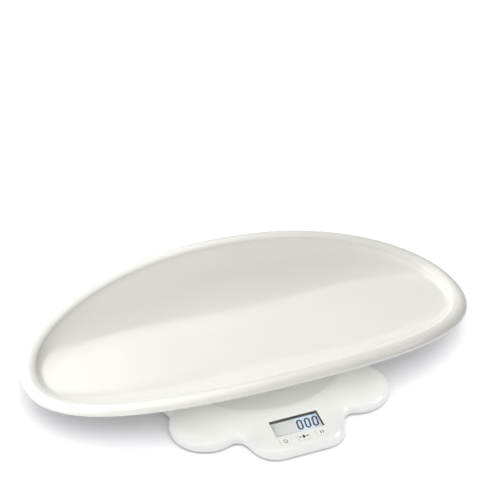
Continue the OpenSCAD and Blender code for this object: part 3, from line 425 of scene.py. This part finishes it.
red_pvc = plain_moulding("red_pvc_wire", "#a3211c", "#b62c26", 0.42, 0.4, 0.02, 1.53)
black_pvc = plain_moulding("black_pvc_wire", "#141415", "#1e1e20", 0.42, 0.4, 0.02, 1.53)

corners = ("front_left", "front_right", "rear_left", "rear_right")
carried = {
    "tray_foot": ivory, "tray_foot_screws": zinc, "tray_pads": rubber,
    "base_bottom": eroded, "base_screws": zinc, "display_lens": acrylic, "lcd_panel": crystal,
    "light_guide": diffuser, "contact_strips": elastomer, "main_board": laminate,
    "board_screws": zinc, "controller_chip": epoxy, "lead_sockets": nylon,
    "dome_power": silicone, "dome_zero": silicone, "dome_hold": silicone,
    "coin_cells": can_steel, "battery_springs": contact, "battery_clips": contact,
    "cell_leads": red_pvc, "battery_leads": black_pvc,
}
for corner in corners:
    carried["carrier_" + corner] = nylon
    carried["cell_" + corner] = spring_steel
for node_name, material in carried.items():
    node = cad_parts[node_name]
    node.data.materials.clear()
    node.data.materials.append(material)

# ------------------------------------------------------------------ tray

tray_a, tray_b = tray_length / 2, tray_width / 2
floor_a = tray_a - rim_width - tip_wall_run
floor_b = tray_b - rim_width - side_wall_run
TURN = 288                                         # points round the tray


def oval(a, b, power, u):
    """A point of an oval outline: a power above 2 makes it fuller than an ellipse."""
    return (a * signed_power(math.cos(u), 2 / power), b * signed_power(math.sin(u), 2 / power))


def oval_normal(a, b, power, u):
    """The outward direction of that outline at the same point."""
    n = Vector((signed_power(math.cos(u), 2 - 2 / power) / a,
                signed_power(math.sin(u), 2 - 2 / power) / b)).normalized()
    return n.x, n.y


def crest_z(u):
    """Height of the rim's crest, which falls from mid length to the tips."""
    x = abs(oval(tray_a, tray_b, tray_plan_power, u)[0]) / tray_a
    return crest_tips + rim_fall * (1 - x ** rim_sweep_power)


def floor_z(x):
    """Height of the bowl's floor, which rises a little towards the tips."""
    return tray_floor + (tip_floor - tray_floor) * (x / floor_a) ** 2


def rim_point(u, inward, drop):
    """A point at a distance inside the outline and below the crest."""
    p, n = oval(tray_a, tray_b, tray_plan_power, u), oval_normal(tray_a, tray_b, tray_plan_power, u)
    return (p[0] - inward * n[0], p[1] - inward * n[1], crest_z(u) - drop)


def bead_point(u, degrees, skin):
    """The rolled rim, from its outside at 0 degrees over the crest to its inside at 180."""
    h = rim_drop_out if degrees < 90 else rim_drop_in
    half, turn = rim_width / 2, math.radians(degrees)
    return rim_point(u, half - (half - skin) * math.cos(turn), h - (h - skin) * math.sin(turn))


def crease_point(u):
    """Where the wall would meet the floor without the soft corner."""
    x, y = oval(floor_a, floor_b, floor_plan_power, u)
    return (x, y, floor_z(x))


def floor_point(u, share):
    """A point of the floor: its edge moved in by the fillet and then by a share of the rest."""
    p, n = oval(floor_a, floor_b, floor_plan_power, u), oval_normal(floor_a, floor_b,
                                                                    floor_plan_power, u)
    x, y = (mix(p[k] - floor_fillet * n[k], 0, share) for k in (0, 1))
    return (x, y, floor_z(x))


def along(points, distance):
    """The point at a distance along a row of points, past whose end the last leg goes on."""
    for k in range(len(points) - 1):
        p, q = Vector(points[k]), Vector(points[k + 1])
        leg = (q - p).length
        if distance <= leg or k == len(points) - 2:
            return tuple(p + (q - p) * distance / leg)
        distance -= leg


def moulded_curve(bends, steps):
    """A curve that touches the middle of each leg between the bends, which it rounds."""
    points = []
    for k in range(1, len(bends) - 1):
        a, b, c = bends[k - 1:k + 2]
        a = a if k == 1 else blend_points(a, b, 0.5)
        c = c if k == len(bends) - 2 else blend_points(b, c, 0.5)
        points += [blend_points(blend_points(a, b, t), blend_points(b, c, t), t)
                   for t in spread(0, 1, steps + 1)[:-1]]
    return points + [bends[-1]]


SHOULDER, SHOULDER_FALL = 2.4, 1.1                 # where the rim's nearly level top turns down
RIM_FOOT, RIM_FOOT_RISE = 0.3, 2.0                 # where that fall meets the wall
WALL_BEND, WALL_BEND_LIMIT = 0.36, 22              # the wall's first bend: its share and its limit
WALL_TURN, FLOOR_REACH = 0.68, 18                  # the last bends, on the wall and on the floor
FLOOR_SWEEP = 56                                   # how far the soft corner of the bowl reaches


def bowl_curve(u):
    """From the crest of the rim down its inside and the wall to the flat of the floor."""
    rim, crease = rim_point(u, rim_width, rim_drop_in), crease_point(u)
    flat = floor_point(u, (FLOOR_SWEEP - floor_fillet) / floor_b)
    wall = (Vector(rim) - Vector(crease)).length
    route = [rim, crease, flat]
    stops = (min(WALL_BEND * wall, WALL_BEND_LIMIT), WALL_TURN * wall, wall + FLOOR_REACH)
    bends = [rim_point(u, rim_width / 2, 0), rim_point(u, rim_width - SHOULDER, SHOULDER_FALL),
             rim_point(u, rim_width + RIM_FOOT, rim_drop_in - RIM_FOOT_RISE)]
    bends += [along(route, stop) for stop in stops] + [flat]
    return moulded_curve(bends, 11)


def lowered(p, drop):
    """The same point further down."""
    return (p[0], p[1], p[2] - drop)


LIP_ROUND = 0.3                                    # round edges of the lip under the rim
HIDDEN_START = 4                                   # points of the bowl's curve that the bead covers


def tray_section(u):
    """One section of the tray from the middle of its floor, over the rim and back below."""
    lip = rim_drop_out + rim_lip
    bowl = bowl_curve(u)[::-1]
    middle = (0, 0, tray_floor)
    section = [(q[0], q[1], floor_z(q[0]))
               for q in (blend_points(middle, bowl[0], t) for t in spread(0.06, 0.94, 9))]
    section += bowl + [bead_point(u, degrees, 0) for degrees in spread(86, 0, 20)]
    section += [rim_point(u, 0, lip - LIP_ROUND), rim_point(u, 0.1, lip - 0.1),
                rim_point(u, LIP_ROUND, lip), rim_point(u, tray_wall - LIP_ROUND, lip),
                rim_point(u, tray_wall, lip - LIP_ROUND)]
    section += [bead_point(u, degrees, tray_wall) for degrees in spread(0, 80, 9)]
    under = [lowered(p, tray_skin) for p in bowl_curve(u)]
    return section + under[HIDDEN_START:] + [lowered(p, tray_wall) for p in section[8:0:-1]]


sections = [tray_section(2 * math.pi * i / TURN) for i in range(TURN)]
tray_shell = loft("tray_shell", [list(ring) for ring in zip(*sections)], ivory, 50)
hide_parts("tray")
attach(tray_shell, "tray")


def stadium_ring(offset, radius, z, count=96):
    """Points round two half circles joined by straight sides."""
    points = []
    for i in range(count):
        a = 2 * math.pi * (i + 0.5) / count
        points.append((math.copysign(offset, math.cos(a)) + radius * math.cos(a),
                       radius * math.sin(a), z))
    return points


seat_top = foot_top + seat_height + 2              # ends inside the floor's thickness
seat_loop = [stadium_ring(foot_end_offset, foot_radius - r, z) for r, z in (
    (0.0, foot_top + 0.3), (0.0, seat_top), (foot_wall, seat_top),
    (foot_wall, foot_top), (0.3, foot_top))]
seat_rib = build("tray_seat_rib", [p for ring in seat_loop for p in ring],
                 ring_faces(96, len(seat_loop), closed_section=True), ivory, 35)
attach(seat_rib, "tray")
for sx in (-1, 1):
    for sy in (-1, 1):
        side = ("left" if sx < 0 else "right") + ("_front" if sy < 0 else "_rear")
        boss = turned("tray_screw_boss_" + side, sx * foot_screw_x, sy * foot_screw_y,
                      [(3.2, foot_top), (3.5, foot_top + 0.3), (3.5, foot_top + seat_height)],
                      ivory, 40)
        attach(boss, "tray")

# ------------------------------------------------------------------ base cover


def meeting(a, ra, b, rb, side):
    """The point at distance ra from a and rb from b, on one side of the line between them."""
    a, b = Vector(a), Vector(b)
    d = (b - a).length
    along = (ra * ra - rb * rb + d * d) / (2 * d)
    off = math.sqrt(max(0, ra * ra - along * along))
    way = (b - a) / d
    return tuple(a + along * way + side * off * Vector((-way.y, way.x)))


front_lobe, rear_lobe = (lobe_x, -lobe_y), (lobe_x, lobe_y)
side_notch = meeting((0, 0), disc_radius + notch_radius, front_lobe, lobe_radius + notch_radius, 1)
rear_notch = meeting((0, 0), disc_radius + notch_radius, rear_lobe, lobe_radius + notch_radius, 1)
display_corner = (window_width / 2 + display_side - display_corner_radius,
                  -(display_reach - display_corner_radius))
valley = meeting(front_lobe, lobe_radius + valley_radius, display_corner,
                 math.hypot(display_corner_radius + valley_radius, valley_straight), 1)
right_arcs = [(display_corner, display_corner_radius), (valley, -valley_radius),
              (front_lobe, lobe_radius), (side_notch, -notch_radius), ((0, 0), disc_radius),
              ((side_notch[0], -side_notch[1]), -notch_radius), (rear_lobe, lobe_radius),
              (rear_notch, -notch_radius)]
arcs = right_arcs + [((0, 0), disc_radius)] + [((-c[0], c[1]), r) for c, r in right_arcs[::-1]]
OUTLINE_STEP = 2.4                                 # distance of the points along the outline


def joint_angle(a, b):
    """The direction in which two arcs, or the straight between them, meet."""
    dx, dy = b[0][0] - a[0][0], b[0][1] - a[0][1]
    lean = max(-1, min(1, (a[1] - b[1]) / math.hypot(dx, dy)))
    return math.atan2(dy, dx) - math.acos(lean)


def straight(a, b):
    """Length of the straight that touches two arcs."""
    return math.sqrt(max(0, (b[0][0] - a[0][0]) ** 2 + (b[0][1] - a[0][1]) ** 2
                         - (a[1] - b[1]) ** 2))


def arc_point(arc, angle, inward):
    """A point of an arc moved in from the outline."""
    r = arc[1] - inward
    return (arc[0][0] + r * math.cos(angle), arc[0][1] + r * math.sin(angle))


def outline(inward):
    """The base's outline seen from above, moved in by a distance."""
    points = []
    for i, arc in enumerate(arcs):
        after = arcs[(i + 1) % len(arcs)]
        first, last = joint_angle(arcs[i - 1], arc), joint_angle(arc, after)
        sweep = (last - first) % (2 * math.pi)
        if arc[1] < 0 and sweep > 1e-5:
            sweep -= 2 * math.pi
        steps = max(2, math.ceil(abs(sweep * arc[1]) / OUTLINE_STEP))
        points += [arc_point(arc, first + sweep * k / steps, inward) for k in range(steps)]
        gap = straight(arc, after)
        parts = math.ceil(gap / OUTLINE_STEP) if gap > 0.01 else 0
        points += [blend_points(arc_point(arc, last, inward), arc_point(after, last, inward),
                                k / parts) for k in range(parts)]
    return points


edge_line = outline(edge_width)
DISPLAY_HALF_ANGLE, DISPLAY_FADE = 17, 10          # the display lobe seen from the middle, degrees
STEEP_RUN, STEEP_SPAN = 18, 40                     # a longer slope than this rises later
SIDE_SLOPE, END_SLOPE = 18, 36                     # slope into the dish, at its sides and ends
PILLOW, DISPLAY_PILLOW = 14, 10.5                  # width of the soft edge, on lobes and display
PILLOW_FROM_Y, PILLOW_CHANGE = -145, 15            # where the one width passes into the other


def display_share(angle):
    """1 on the display lobe, where the deck is flat, and 0 on the rest."""
    off = abs(math.degrees(angle) + 90)
    return 1 - ease(min(1, max(0, (off - DISPLAY_HALF_ANGLE) / DISPLAY_FADE)))


def polar(x, y):
    """Direction of a point, counted up from straight ahead of the display."""
    a = math.atan2(y, x)
    return a + 2 * math.pi if a < -math.pi / 2 else a


def deck_rise(t, run, angle):
    """Height of the deck at a share t of its run from the edge up to the ridge."""
    bend = 1 + max(0, run - STEEP_RUN) / STEEP_SPAN
    return edge_height + (ridge_height - edge_height) * mix(ease(t ** bend), t,
                                                            display_share(angle))


def deck_ring(t, skin):
    """Points round the deck at a share t of the way from the edge to the ridge."""
    ring = []
    for x, y in edge_line:
        r = math.hypot(x, y)
        run = r - ridge_radius
        k = (r - run * t) / r
        ring.append((x * k, y * k, deck_rise(t, run, polar(abs(x), y)) - skin))
    return ring


def dish_ring(s, skin):
    """The slope into the dish, longer at the front and rear, where the tray's foot is narrow."""
    ring = []
    for x, y in edge_line:
        r = math.hypot(x, y)
        k = (ridge_radius - mix(SIDE_SLOPE, END_SLOPE, (y / r) ** 2) * s) / r
        ring.append((x * k, y * k, ridge_height - dish_depth * (1 - (1 - s) ** 2) - skin))
    return ring


def flat_ring(share, z):
    """Points round the dish's flat floor, at a share of its size."""
    return [(x * share, y * share, z) for x, y, _ in dish_ring(1, 0)]


def level_ring(inward, z):
    """The outline moved in, at one height."""
    return [(x, y, z) for x, y in outline(inward)]


def to_outline(points):
    """Distance of each point from the outline, seen from above."""
    edge = np.array(outline(0))
    legs = np.roll(edge, -1, axis=0) - edge
    away = np.array(points)[:, None, :2] - edge[None]
    share = np.clip((away * legs).sum(2) / (legs ** 2).sum(1), 0, 1)
    return np.linalg.norm(away - share[..., None] * legs, axis=2).min(1)


def pillow(ring):
    """Rounds the deck off towards the outline over more than the plain edge's width."""
    soft = []
    for (x, y, z), inward in zip(ring, to_outline(ring)):
        width = mix(PILLOW, DISPLAY_PILLOW, min(1, max(0, (PILLOW_FROM_Y - y) / PILLOW_CHANGE)))
        short = max(0, width - inward) / width
        soft.append((x, y, z - edge_drop * (1 - math.sqrt(1 - min(1, short) ** 2))))
    return soft


def edge_ring(degrees, skin):
    """The inner skin of the cover's round edge."""
    a = math.radians(degrees)
    return level_ring(edge_width - (edge_width - skin) * math.cos(a),
                      edge_height - skin - (edge_drop - skin) * (1 - math.sin(a)))


outer = [flat_ring(s, dish_floor) for s in (0.08, 0.3, 0.6, 0.85, 0.97)]
outer += [dish_ring(s, 0) for s in spread(1, 0, 16)]
outer += [pillow(deck_ring(t, 0)) for t in spread(0.97, 0.03, 26)]
outer += [pillow(level_ring(inward, edge_height))
          for inward in (7.5, 6.3, 5.2, 4.2, 3.3, 2.5, 1.8, 1.2, 0.75, 0.4, 0.15, 0.03)]
outer += [level_ring(0, edge_height - edge_drop - 0.7), level_ring(0, ground_gap + 0.3),
          level_ring(0.3, ground_gap)]
inner = [level_ring(cover_wall, ground_gap)]
inner += [edge_ring(a, cover_wall) for a in spread(0, 60, 4)]
inner += [deck_ring(0.12, cover_wall + 0.6), deck_ring(0.5, cover_wall)]
inner += [dish_ring(share, cover_wall) for share in spread(0, 1, 5)]
inner += [flat_ring(0.1, dish_floor - cover_wall)]
cover_shell = loft("base_cover_shell", outer + inner, ivory_cover)


def deck_loft(name, rings, material, smooth_angle=35):
    """A body through rings in the deck's own axes."""
    return loft(name, [[deck_point(*p) for p in ring] for ring in rings], material, smooth_angle)


def cut_openings(shell, cutters):
    """Cuts the openings through a shell and removes the bodies that cut them."""
    for cutter in cutters:
        step = shell.modifiers.new("opening", "BOOLEAN")
        step.operation, step.solver, step.object = "DIFFERENCE", "EXACT", cutter
        bpy.context.view_layer.objects.active = shell
        bpy.ops.object.modifier_apply(modifier=step.name)
        bpy.data.objects.remove(cutter, do_unlink=True)


def slab(name, x, y, width, depth, low, high, corner=0.4):
    """An upright block in the deck's own axes."""
    ring = rounded_box_ring(width, depth, corner, 3)
    return deck_loft(name, [[(x + px, y + py, z) for px, py in ring] for z in (low, high)],
                     ivory_cover)


WINDOW_PLAY, THROUGH = 0.5, 9                      # play round the frame, reach of a cut each way
ABOVE_DISH = 30
cutters = [slab("cut_window", 0, 0, window_width + WINDOW_PLAY, window_height + WINDOW_PLAY,
                -THROUGH, THROUGH, 0.5)]
for place in (-1, 0, 1):
    cutters.append(slab("cut_key_%d" % (place + 1), place * key_pitch, -key_row,
                        key_width + 2 * key_gap, key_depth + 2 * key_gap,
                        -THROUGH, THROUGH, 1.3))
for sx in (-1, 1):
    cutters.append(turned("cut_socket_%d" % (sx + 1), sx * peg_offset, 0,
                          [(peg_socket_radius, peg_socket_floor),
                           (peg_socket_radius, ABOVE_DISH)], ivory_cover))
cut_openings(cover_shell, cutters)
cover_shell.data.set_sharp_from_angle(angle=math.radians(35))
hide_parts("base_cover")
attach(cover_shell, "base")

# ------------------------------------------------------------------ display


def frame_rings(grow, z, corner):
    """Points round the window, grown by a distance, at a height above the deck."""
    return [(x, y, z) for x, y in rounded_box_ring(window_width + 2 * grow,
                                                   window_height + 2 * grow, corner, 3)]


bezel_loop = [frame_rings(0.02, panel_face, 0.3), frame_rings(0.02, -0.12, 0.3),
              frame_rings(0.22, -0.12, 0.5), frame_rings(0.25, -2.4, 0.5),
              frame_rings(0.6, -2.6, 0.6), frame_rings(0.6, panel_face, 0.6)]
bezel = build("display_bezel", [deck_point(*p) for ring in bezel_loop for p in ring],
              ring_faces(len(bezel_loop[0]), len(bezel_loop), closed_section=True), black_pc, 35)
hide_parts("display_frame")
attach(bezel, "base")

DIGIT_LEAN = math.tan(math.radians(7))
digit_width, digit_height, stroke_width, digit_pitch = 7.2, 15.2, 2.3, 9.2
MITRE, MIDDLE_GAP = 1.05, 0.7                      # how much shorter the strokes end at each joint
DIGIT_MARGIN, DIGIT_LOWER = 2.6, 0.4               # from the window's side and below its middle
INK_LIFT, DIGIT_TOP, RECESS_SHADE_TOP = 0.005, 0.08, 0.05  # above the panel's face
# widths of the black sheet that paints the shade of the window's recess along its rear and right
# edges
RECESS_SHADE_REAR, RECESS_SHADE_SIDE = 1.9, 1.0                    # widths of the dark mask


def outline_plate(name, shapes, z_low, z_high, material, body):
    """Thin flat plates with the given outlines, lying on the deck."""
    verts, faces = [], []
    for shape in shapes:
        n, first = len(shape), len(verts)
        verts += [deck_point(x, y, z) for z in (z_low, z_high) for x, y in shape]
        faces.append(tuple(range(first + n, first + 2 * n)))
        faces.append(tuple(range(first + n - 1, first - 1, -1)))
        faces += [(first + i, first + (i + 1) % n, first + n + (i + 1) % n, first + n + i)
                  for i in range(n)]
    plate = build(name, verts, faces, material, 30)
    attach(plate, body)
    return plate


def bar(x0, y0, x1, y1, width, pointed=True):
    """Outline of a display stroke between two points, with mitred or square ends."""
    along = Vector((x1 - x0, y1 - y0)).normalized()
    across = Vector((-along.y, along.x)) * width / 2
    a, b, tip = Vector((x0, y0)), Vector((x1, y1)), along * width / 2
    if not pointed:
        return [tuple(v) for v in (a - across, b - across, b + across, a + across)]
    return [tuple(v) for v in (a - tip, a - across, b - across, b + tip, b + across, a + across)]


def lean(shape, x, y):
    """A shape moved to a point and leant to the right like italics."""
    return [(x + px + DIGIT_LEAN * py, y + py) for px, py in shape]


def nought(x, y):
    """A nought of six display strokes about a point, leaning to the right."""
    half_w, half_h = digit_width / 2 - stroke_width / 2, digit_height / 2 - stroke_width / 2
    strokes = [bar(-half_w + MITRE, s * half_h, half_w - MITRE, s * half_h, stroke_width)
               for s in (-1, 1)]
    for sx in (-1, 1):
        for low, high in ((-half_h + MITRE, -MIDDLE_GAP), (MIDDLE_GAP, half_h - MITRE)):
            strokes.append(bar(sx * half_w, low, sx * half_w, high, stroke_width))
    return [lean(stroke, x, y) for stroke in strokes]


top, side = window_height / 2, window_width / 2
noughts = []
for i in range(3):
    noughts += nought(side - DIGIT_MARGIN - digit_width / 2 - i * digit_pitch, -DIGIT_LOWER)
digits = outline_plate("display_digits", noughts, panel_face + INK_LIFT, panel_face + DIGIT_TOP,
                       segment, "base")
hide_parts("lcd_digits")
# painted shade: a black sheet on the panel along the window's rear and right edges only, where the
# recess's shaded walls are seen from the front left
recess_shade_outlines = [[(-side, top - RECESS_SHADE_REAR), (side, top - RECESS_SHADE_REAR), (side, top), (-side, top)],
        [(side - RECESS_SHADE_SIDE, -top), (side, -top), (side, top - RECESS_SHADE_REAR),
         (side - RECESS_SHADE_SIDE, top - RECESS_SHADE_REAR)]]
outline_plate("display_painted_recess_shade", recess_shade_outlines, panel_face + INK_LIFT, panel_face + RECESS_SHADE_TOP, black_pc,
              "base")
# a small triangle at the lower left, then the strokes of a unit mark at the upper right
small = [[(-23.6, -9.8), (-22.0, -9.8), (-21.9, -8.2)]]
small += [bar(21.6, 9.6, 21.6, 11.2, 0.35, False), bar(21.7, 10.3, 22.4, 11.0, 0.3, False),
          bar(21.8, 10.4, 22.5, 9.6, 0.3, False)]
small += [[(23.5 + 0.55 * math.cos(a), 10.3 + 0.55 * math.sin(a))
           for a in spread(0, 2 * math.pi * 11 / 12, 12)], bar(24.1, 9.2, 24.1, 10.9, 0.3, False)]
outline_plate("display_marks", small, panel_face + INK_LIFT, panel_face + DIGIT_TOP, segment,
              "base")

# ------------------------------------------------------------------ keys


KEY_CORNER, FLANGE_CORNER, KEY_ROUND = 1.1, 1.2, 0.35
SIGN_SINK, SIGN_RISE = 0.02, 0.015                 # the printed sign lies on the key


def key_rings():
    """Section of a key: its hidden flange, upright cap and softly rounded top."""
    rows = [(key_width + 2 * key_flange, key_depth + 2 * key_flange, flange_bottom,
             FLANGE_CORNER),
            (key_width + 2 * key_flange, key_depth + 2 * key_flange, cap_bottom - 0.05,
             FLANGE_CORNER),
            (key_width, key_depth, cap_bottom - 0.04, KEY_CORNER)]
    for a in spread(0, 90, 6):
        a = math.radians(a)
        pull = KEY_ROUND * (1 - math.cos(a))
        rows.append((key_width - 2 * pull, key_depth - 2 * pull,
                     key_stand - KEY_ROUND * (1 - math.sin(a)), KEY_CORNER - pull * 0.5))
    rows.append((key_width * 0.5, key_depth * 0.5, key_stand, 0.6))
    return rows


def open_ring(x, y, outer_r, width, first, last, count=24):
    """Outline of part of a ring between two directions, in degrees."""
    turns = [math.radians(a) for a in spread(first, last, count)]
    return ([(x + outer_r * math.cos(a), y + outer_r * math.sin(a)) for a in turns]
            + [(x + (outer_r - width) * math.cos(a), y + (outer_r - width) * math.sin(a))
               for a in turns[::-1]])


def oval_outline(x, y, rx, ry, width):
    """Outline of an oval ring, cut open at its right."""
    turns = [2 * math.pi * i / 28 for i in range(29)]
    return ([(x + rx * math.cos(a), y + ry * math.sin(a)) for a in turns]
            + [(x + (rx - width) * math.cos(a), y + (ry - width) * math.sin(a))
               for a in turns[::-1]])


icons = {
    # a broken ring with a stroke: the usual sign for power
    "power": [open_ring(0, -0.3, 2.6, 0.8, 130, 410), bar(0, 0.5, 0, 2.9, 0.8, False)],
    # a nought between two arrow heads: the usual sign for zero and tare
    "zero": [oval_outline(0, 0, 1.6, 2.4, 0.7), [(-5.0, 1.4), (-5.0, -1.4), (-2.6, 0)],
             [(5.0, -1.4), (5.0, 1.4), (2.6, 0)]],
    # two upright bars: the usual sign for holding a reading
    "hold": [bar(-1.4, -2.2, -1.4, 2.2, 1.1, False), bar(1.4, -2.2, 1.4, 2.2, 1.1, False)],
}
key_caps = []
for place, word in ((-1, "power"), (0, "zero"), (1, "hold")):
    rings = [[(place * key_pitch + px, -key_row + py, z) for px, py in
              rounded_box_ring(width, depth, max(corner, 0.2))]
             for width, depth, z, corner in key_rings()]
    cap = deck_loft("key_cap_" + word, rings, key_cap, 40)
    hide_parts("key_" + word)
    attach(cap, "key_" + word)
    key_caps.append(cap)
    shapes = [[(place * key_pitch + px, -key_row + py) for px, py in shape]
              for shape in icons[word]]
    outline_plate("key_sign_" + word, shapes, key_stand - SIGN_SINK, key_stand + SIGN_RISE,
                  pad_ink, "key_" + word)

# ------------------------------------------------------------------ feet and battery door

CUP_FOOT, SOLE_PLAY, SOLE_TOP, SOLE_ROUND = 1.0, 0.05, 2.0, 0.35
GROOVES, GROOVE_DEPTH = (9.6, 6.6, 3.6), 0.5       # rings cut into the sole
cup_top, stem_radius = ground_gap + bottom_wall, 4.0

for corner, (sx, sy) in zip(corners, ((-1, -1), (1, -1), (-1, 1), (1, 1))):
    x, y = sx * lobe_x, sy * lobe_y
    stand = turned("foot_" + corner + "_cup", x, y, [
        (sole_radius + SOLE_PLAY, 1.2), (sole_radius + SOLE_PLAY, CUP_FOOT),
        (stand_radius - 0.6, CUP_FOOT), (stand_radius - 0.15, 1.2), (stand_radius, 1.7),
        (stand_radius, cup_top - 0.5), (stand_radius - 0.5, cup_top), (stem_radius, cup_top),
        (stem_radius, cup_top + 1.0)], eroded)
    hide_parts("foot_" + corner)
    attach(stand, "base")
    profile = [(sole_radius, SOLE_TOP), (sole_radius, SOLE_ROUND), (sole_radius - SOLE_ROUND, 0.0)]
    for groove in GROOVES:
        profile += [(groove + 0.6, 0.0), (groove + 0.35, GROOVE_DEPTH),
                    (groove - 0.35, GROOVE_DEPTH), (groove - 0.6, 0.0)]
    profile.append((0.8, 0.0))
    sole = turned("sole_" + corner + "_ribbed", x, y, profile, rubber)
    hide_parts("sole_" + corner)
    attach(sole, "base")

GRIPS, GRIP_PITCH, GRIP_DEPTH = 5, 1.6, 0.4        # grooves that a finger pulls the door by
DOOR_ROUND, DOOR_PULL = 0.3, 0.012                 # its round edges, and how far its ends taper


def door_panel():
    """The battery door: a plate with a barrel at its rear edge and grip ribs at its front."""
    low, high = ground_gap, ground_gap + door_thickness
    rear, front, half = bay_y + door_width / 2, bay_y - door_width / 2, door_length / 2
    axis_y, axis_z, r = rear - door_thickness / 2, low + door_thickness / 2, door_thickness / 2
    side = [(front, high - DOOR_ROUND), (front + DOOR_ROUND, high), (axis_y, high)]
    side += [(axis_y + r * math.sin(a), axis_z + r * math.cos(a))
             for a in spread(math.pi / 12, math.pi * 11 / 12, 11)]
    side += [(axis_y, low), (bay_y - 2.0, low)]
    for k in range(GRIPS):
        y = bay_y - (k + 2) * GRIP_PITCH
        side += [(y + 0.5, low), (y + 0.25, low + GRIP_DEPTH), (y - 0.25, low + GRIP_DEPTH),
                 (y - 0.5, low)]
    side += [(front + DOOR_ROUND, low), (front, low + DOOR_ROUND)]
    rings = [[(x, mix(y, bay_y, pull), mix(z, axis_z, pull)) for y, z in side]
             for x, pull in ((-half, DOOR_PULL), (-half + 0.25, 0.0), (half - 0.25, 0.0),
                             (half, DOOR_PULL))]
    return loft("battery_door_ribbed", rings, eroded, 30)


door = door_panel()
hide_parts("battery_door")
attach(door, "battery_door")

# ------------------------------------------------------------------ floor, lamps and world


def studio_floor():
    """Seamless white paper: it keeps the soft shadow and is pure white in open light."""
    m = start("white_paper")
    paper = add(m, "ShaderNodeBsdfDiffuse", {"Color": ink("#d8d8da"), "Roughness": 1.0})
    glow = add(m, "ShaderNodeEmission", {"Color": ink("#f8f5fa"), "Strength": 0.08})
    finish(m, add(m, "ShaderNodeAddShader", links={
        0: paper.outputs[0], 1: glow.outputs[0]}).outputs[0])
    mesh = bpy.data.meshes.new("floor")
    size = 6.0                                     # half the paper's side, in metres
    mesh.from_pydata([(-size, -size, 0), (size, -size, 0), (size, size, 0), (-size, size, 0)],
                     [], [(0, 1, 2, 3)])
    mesh.materials.append(m)
    floor = bpy.data.objects.new("floor", mesh)
    bpy.context.collection.objects.link(floor)
    return floor


floor = studio_floor()


def softbox(name, place, target, size, power, flagged):
    """A soft lamp: flagged pieces are kept out of its light, as a studio flag does."""
    lamp = bpy.data.lights.new(name, "AREA")
    lamp.shape, lamp.size, lamp.size_y = "RECTANGLE", size[0], size[1]
    lamp.energy, lamp.color = power, ink("#fffefb")[:3]
    obj = bpy.data.objects.new(name, lamp)
    obj.location = place
    obj.rotation_euler = (Vector(target) - Vector(place)).to_track_quat("-Z", "Y").to_euler()
    bpy.context.collection.objects.link(obj)
    kept_out = bpy.data.collections.new(name + "_flag")
    obj.light_linking.receiver_collection = kept_out
    for entry, piece in enumerate(flagged):
        kept_out.objects.link(piece)
        kept_out.collection_objects[entry].light_linking.link_state = "EXCLUDE"


tray_pieces = (tray_shell, seat_rib)
cover_pieces = (cover_shell, *key_caps)
softbox("rear_overhead_box", (-0.8, 1.4, 1.8), (0, 0, 0), (3.4, 2.6), 57, (floor,))
softbox("overhead_box", (-0.4, -0.15, 1.8), (0, 0, 0), (1.8, 1.2), 9.5, (floor, *cover_pieces))
softbox("left_box", (-1.9, -0.1, 1.05), (0, 0, 0.05), (1.0, 0.9), 15, (floor, *cover_pieces))
softbox("right_strip", (1.6, -0.25, 1.3), (0, 0, 0.05), (1.0, 0.2), 3.0, (floor,))
softbox("tray_front_box", (-0.4, -1.5, 0.14), (0, 0, 0.10), (3.2, 0.2), 8.5,
        (floor, *cover_pieces))
softbox("base_front_box", (-0.3, -1.0, 1.5), (0, -0.1, 0.02), (1.2, 0.7), 9.5,
        (floor, *tray_pieces))
softbox("base_left_box", (-1.5, -0.85, 0.85), (0, 0, 0.05), (1.0, 0.8), 12.5,
        (floor, *tray_pieces))
softbox("base_right_box", (1.5, -0.85, 0.85), (0, 0, 0.05), (1.0, 0.8), 13,
        (floor, *tray_pieces))
only_floor = bpy.data.collections.new("paper_sky_receiver")
only_floor.objects.link(floor)


def paper_sky(name, energy, width, tilt_x, tilt_y):
    """A wide far lamp for the floor alone, so that the floor goes white and keeps its shadow."""
    sky = bpy.data.objects.new(name, bpy.data.lights.new(name, "SUN"))
    sky.data.energy, sky.data.angle = energy, math.radians(width)
    sky.rotation_euler = (math.radians(tilt_x), math.radians(tilt_y), 0)
    bpy.context.collection.objects.link(sky)
    sky.light_linking.receiver_collection = only_floor


paper_sky("paper_sky_front", 1.8, 34, 28, -8)
paper_sky("paper_sky_dome", 3.2, 140, 0, 0)

world = bpy.data.worlds.new("studio")
world.use_nodes = True
world.node_tree.nodes.clear()
bpy.context.scene.world = world
room = add(world, "ShaderNodeBackground", {"Color": ink("#eef0f6"), "Strength": 0.15})
white = add(world, "ShaderNodeBackground", {"Color": ink("#ffffff"), "Strength": 1.0})
path = add(world, "ShaderNodeLightPath")
seen = add(world, "ShaderNodeMath", {"operation": "MAXIMUM"}, {
    0: path.outputs["Is Camera Ray"], 1: path.outputs["Is Transmission Ray"]})
chosen = add(world, "ShaderNodeMixShader", links={
    0: seen.outputs[0], 1: room.outputs[0], 2: white.outputs[0]})
add(world, "ShaderNodeOutputWorld", links={0: chosen.outputs[0]})

bpy.context.scene.view_settings.view_transform = "Standard"
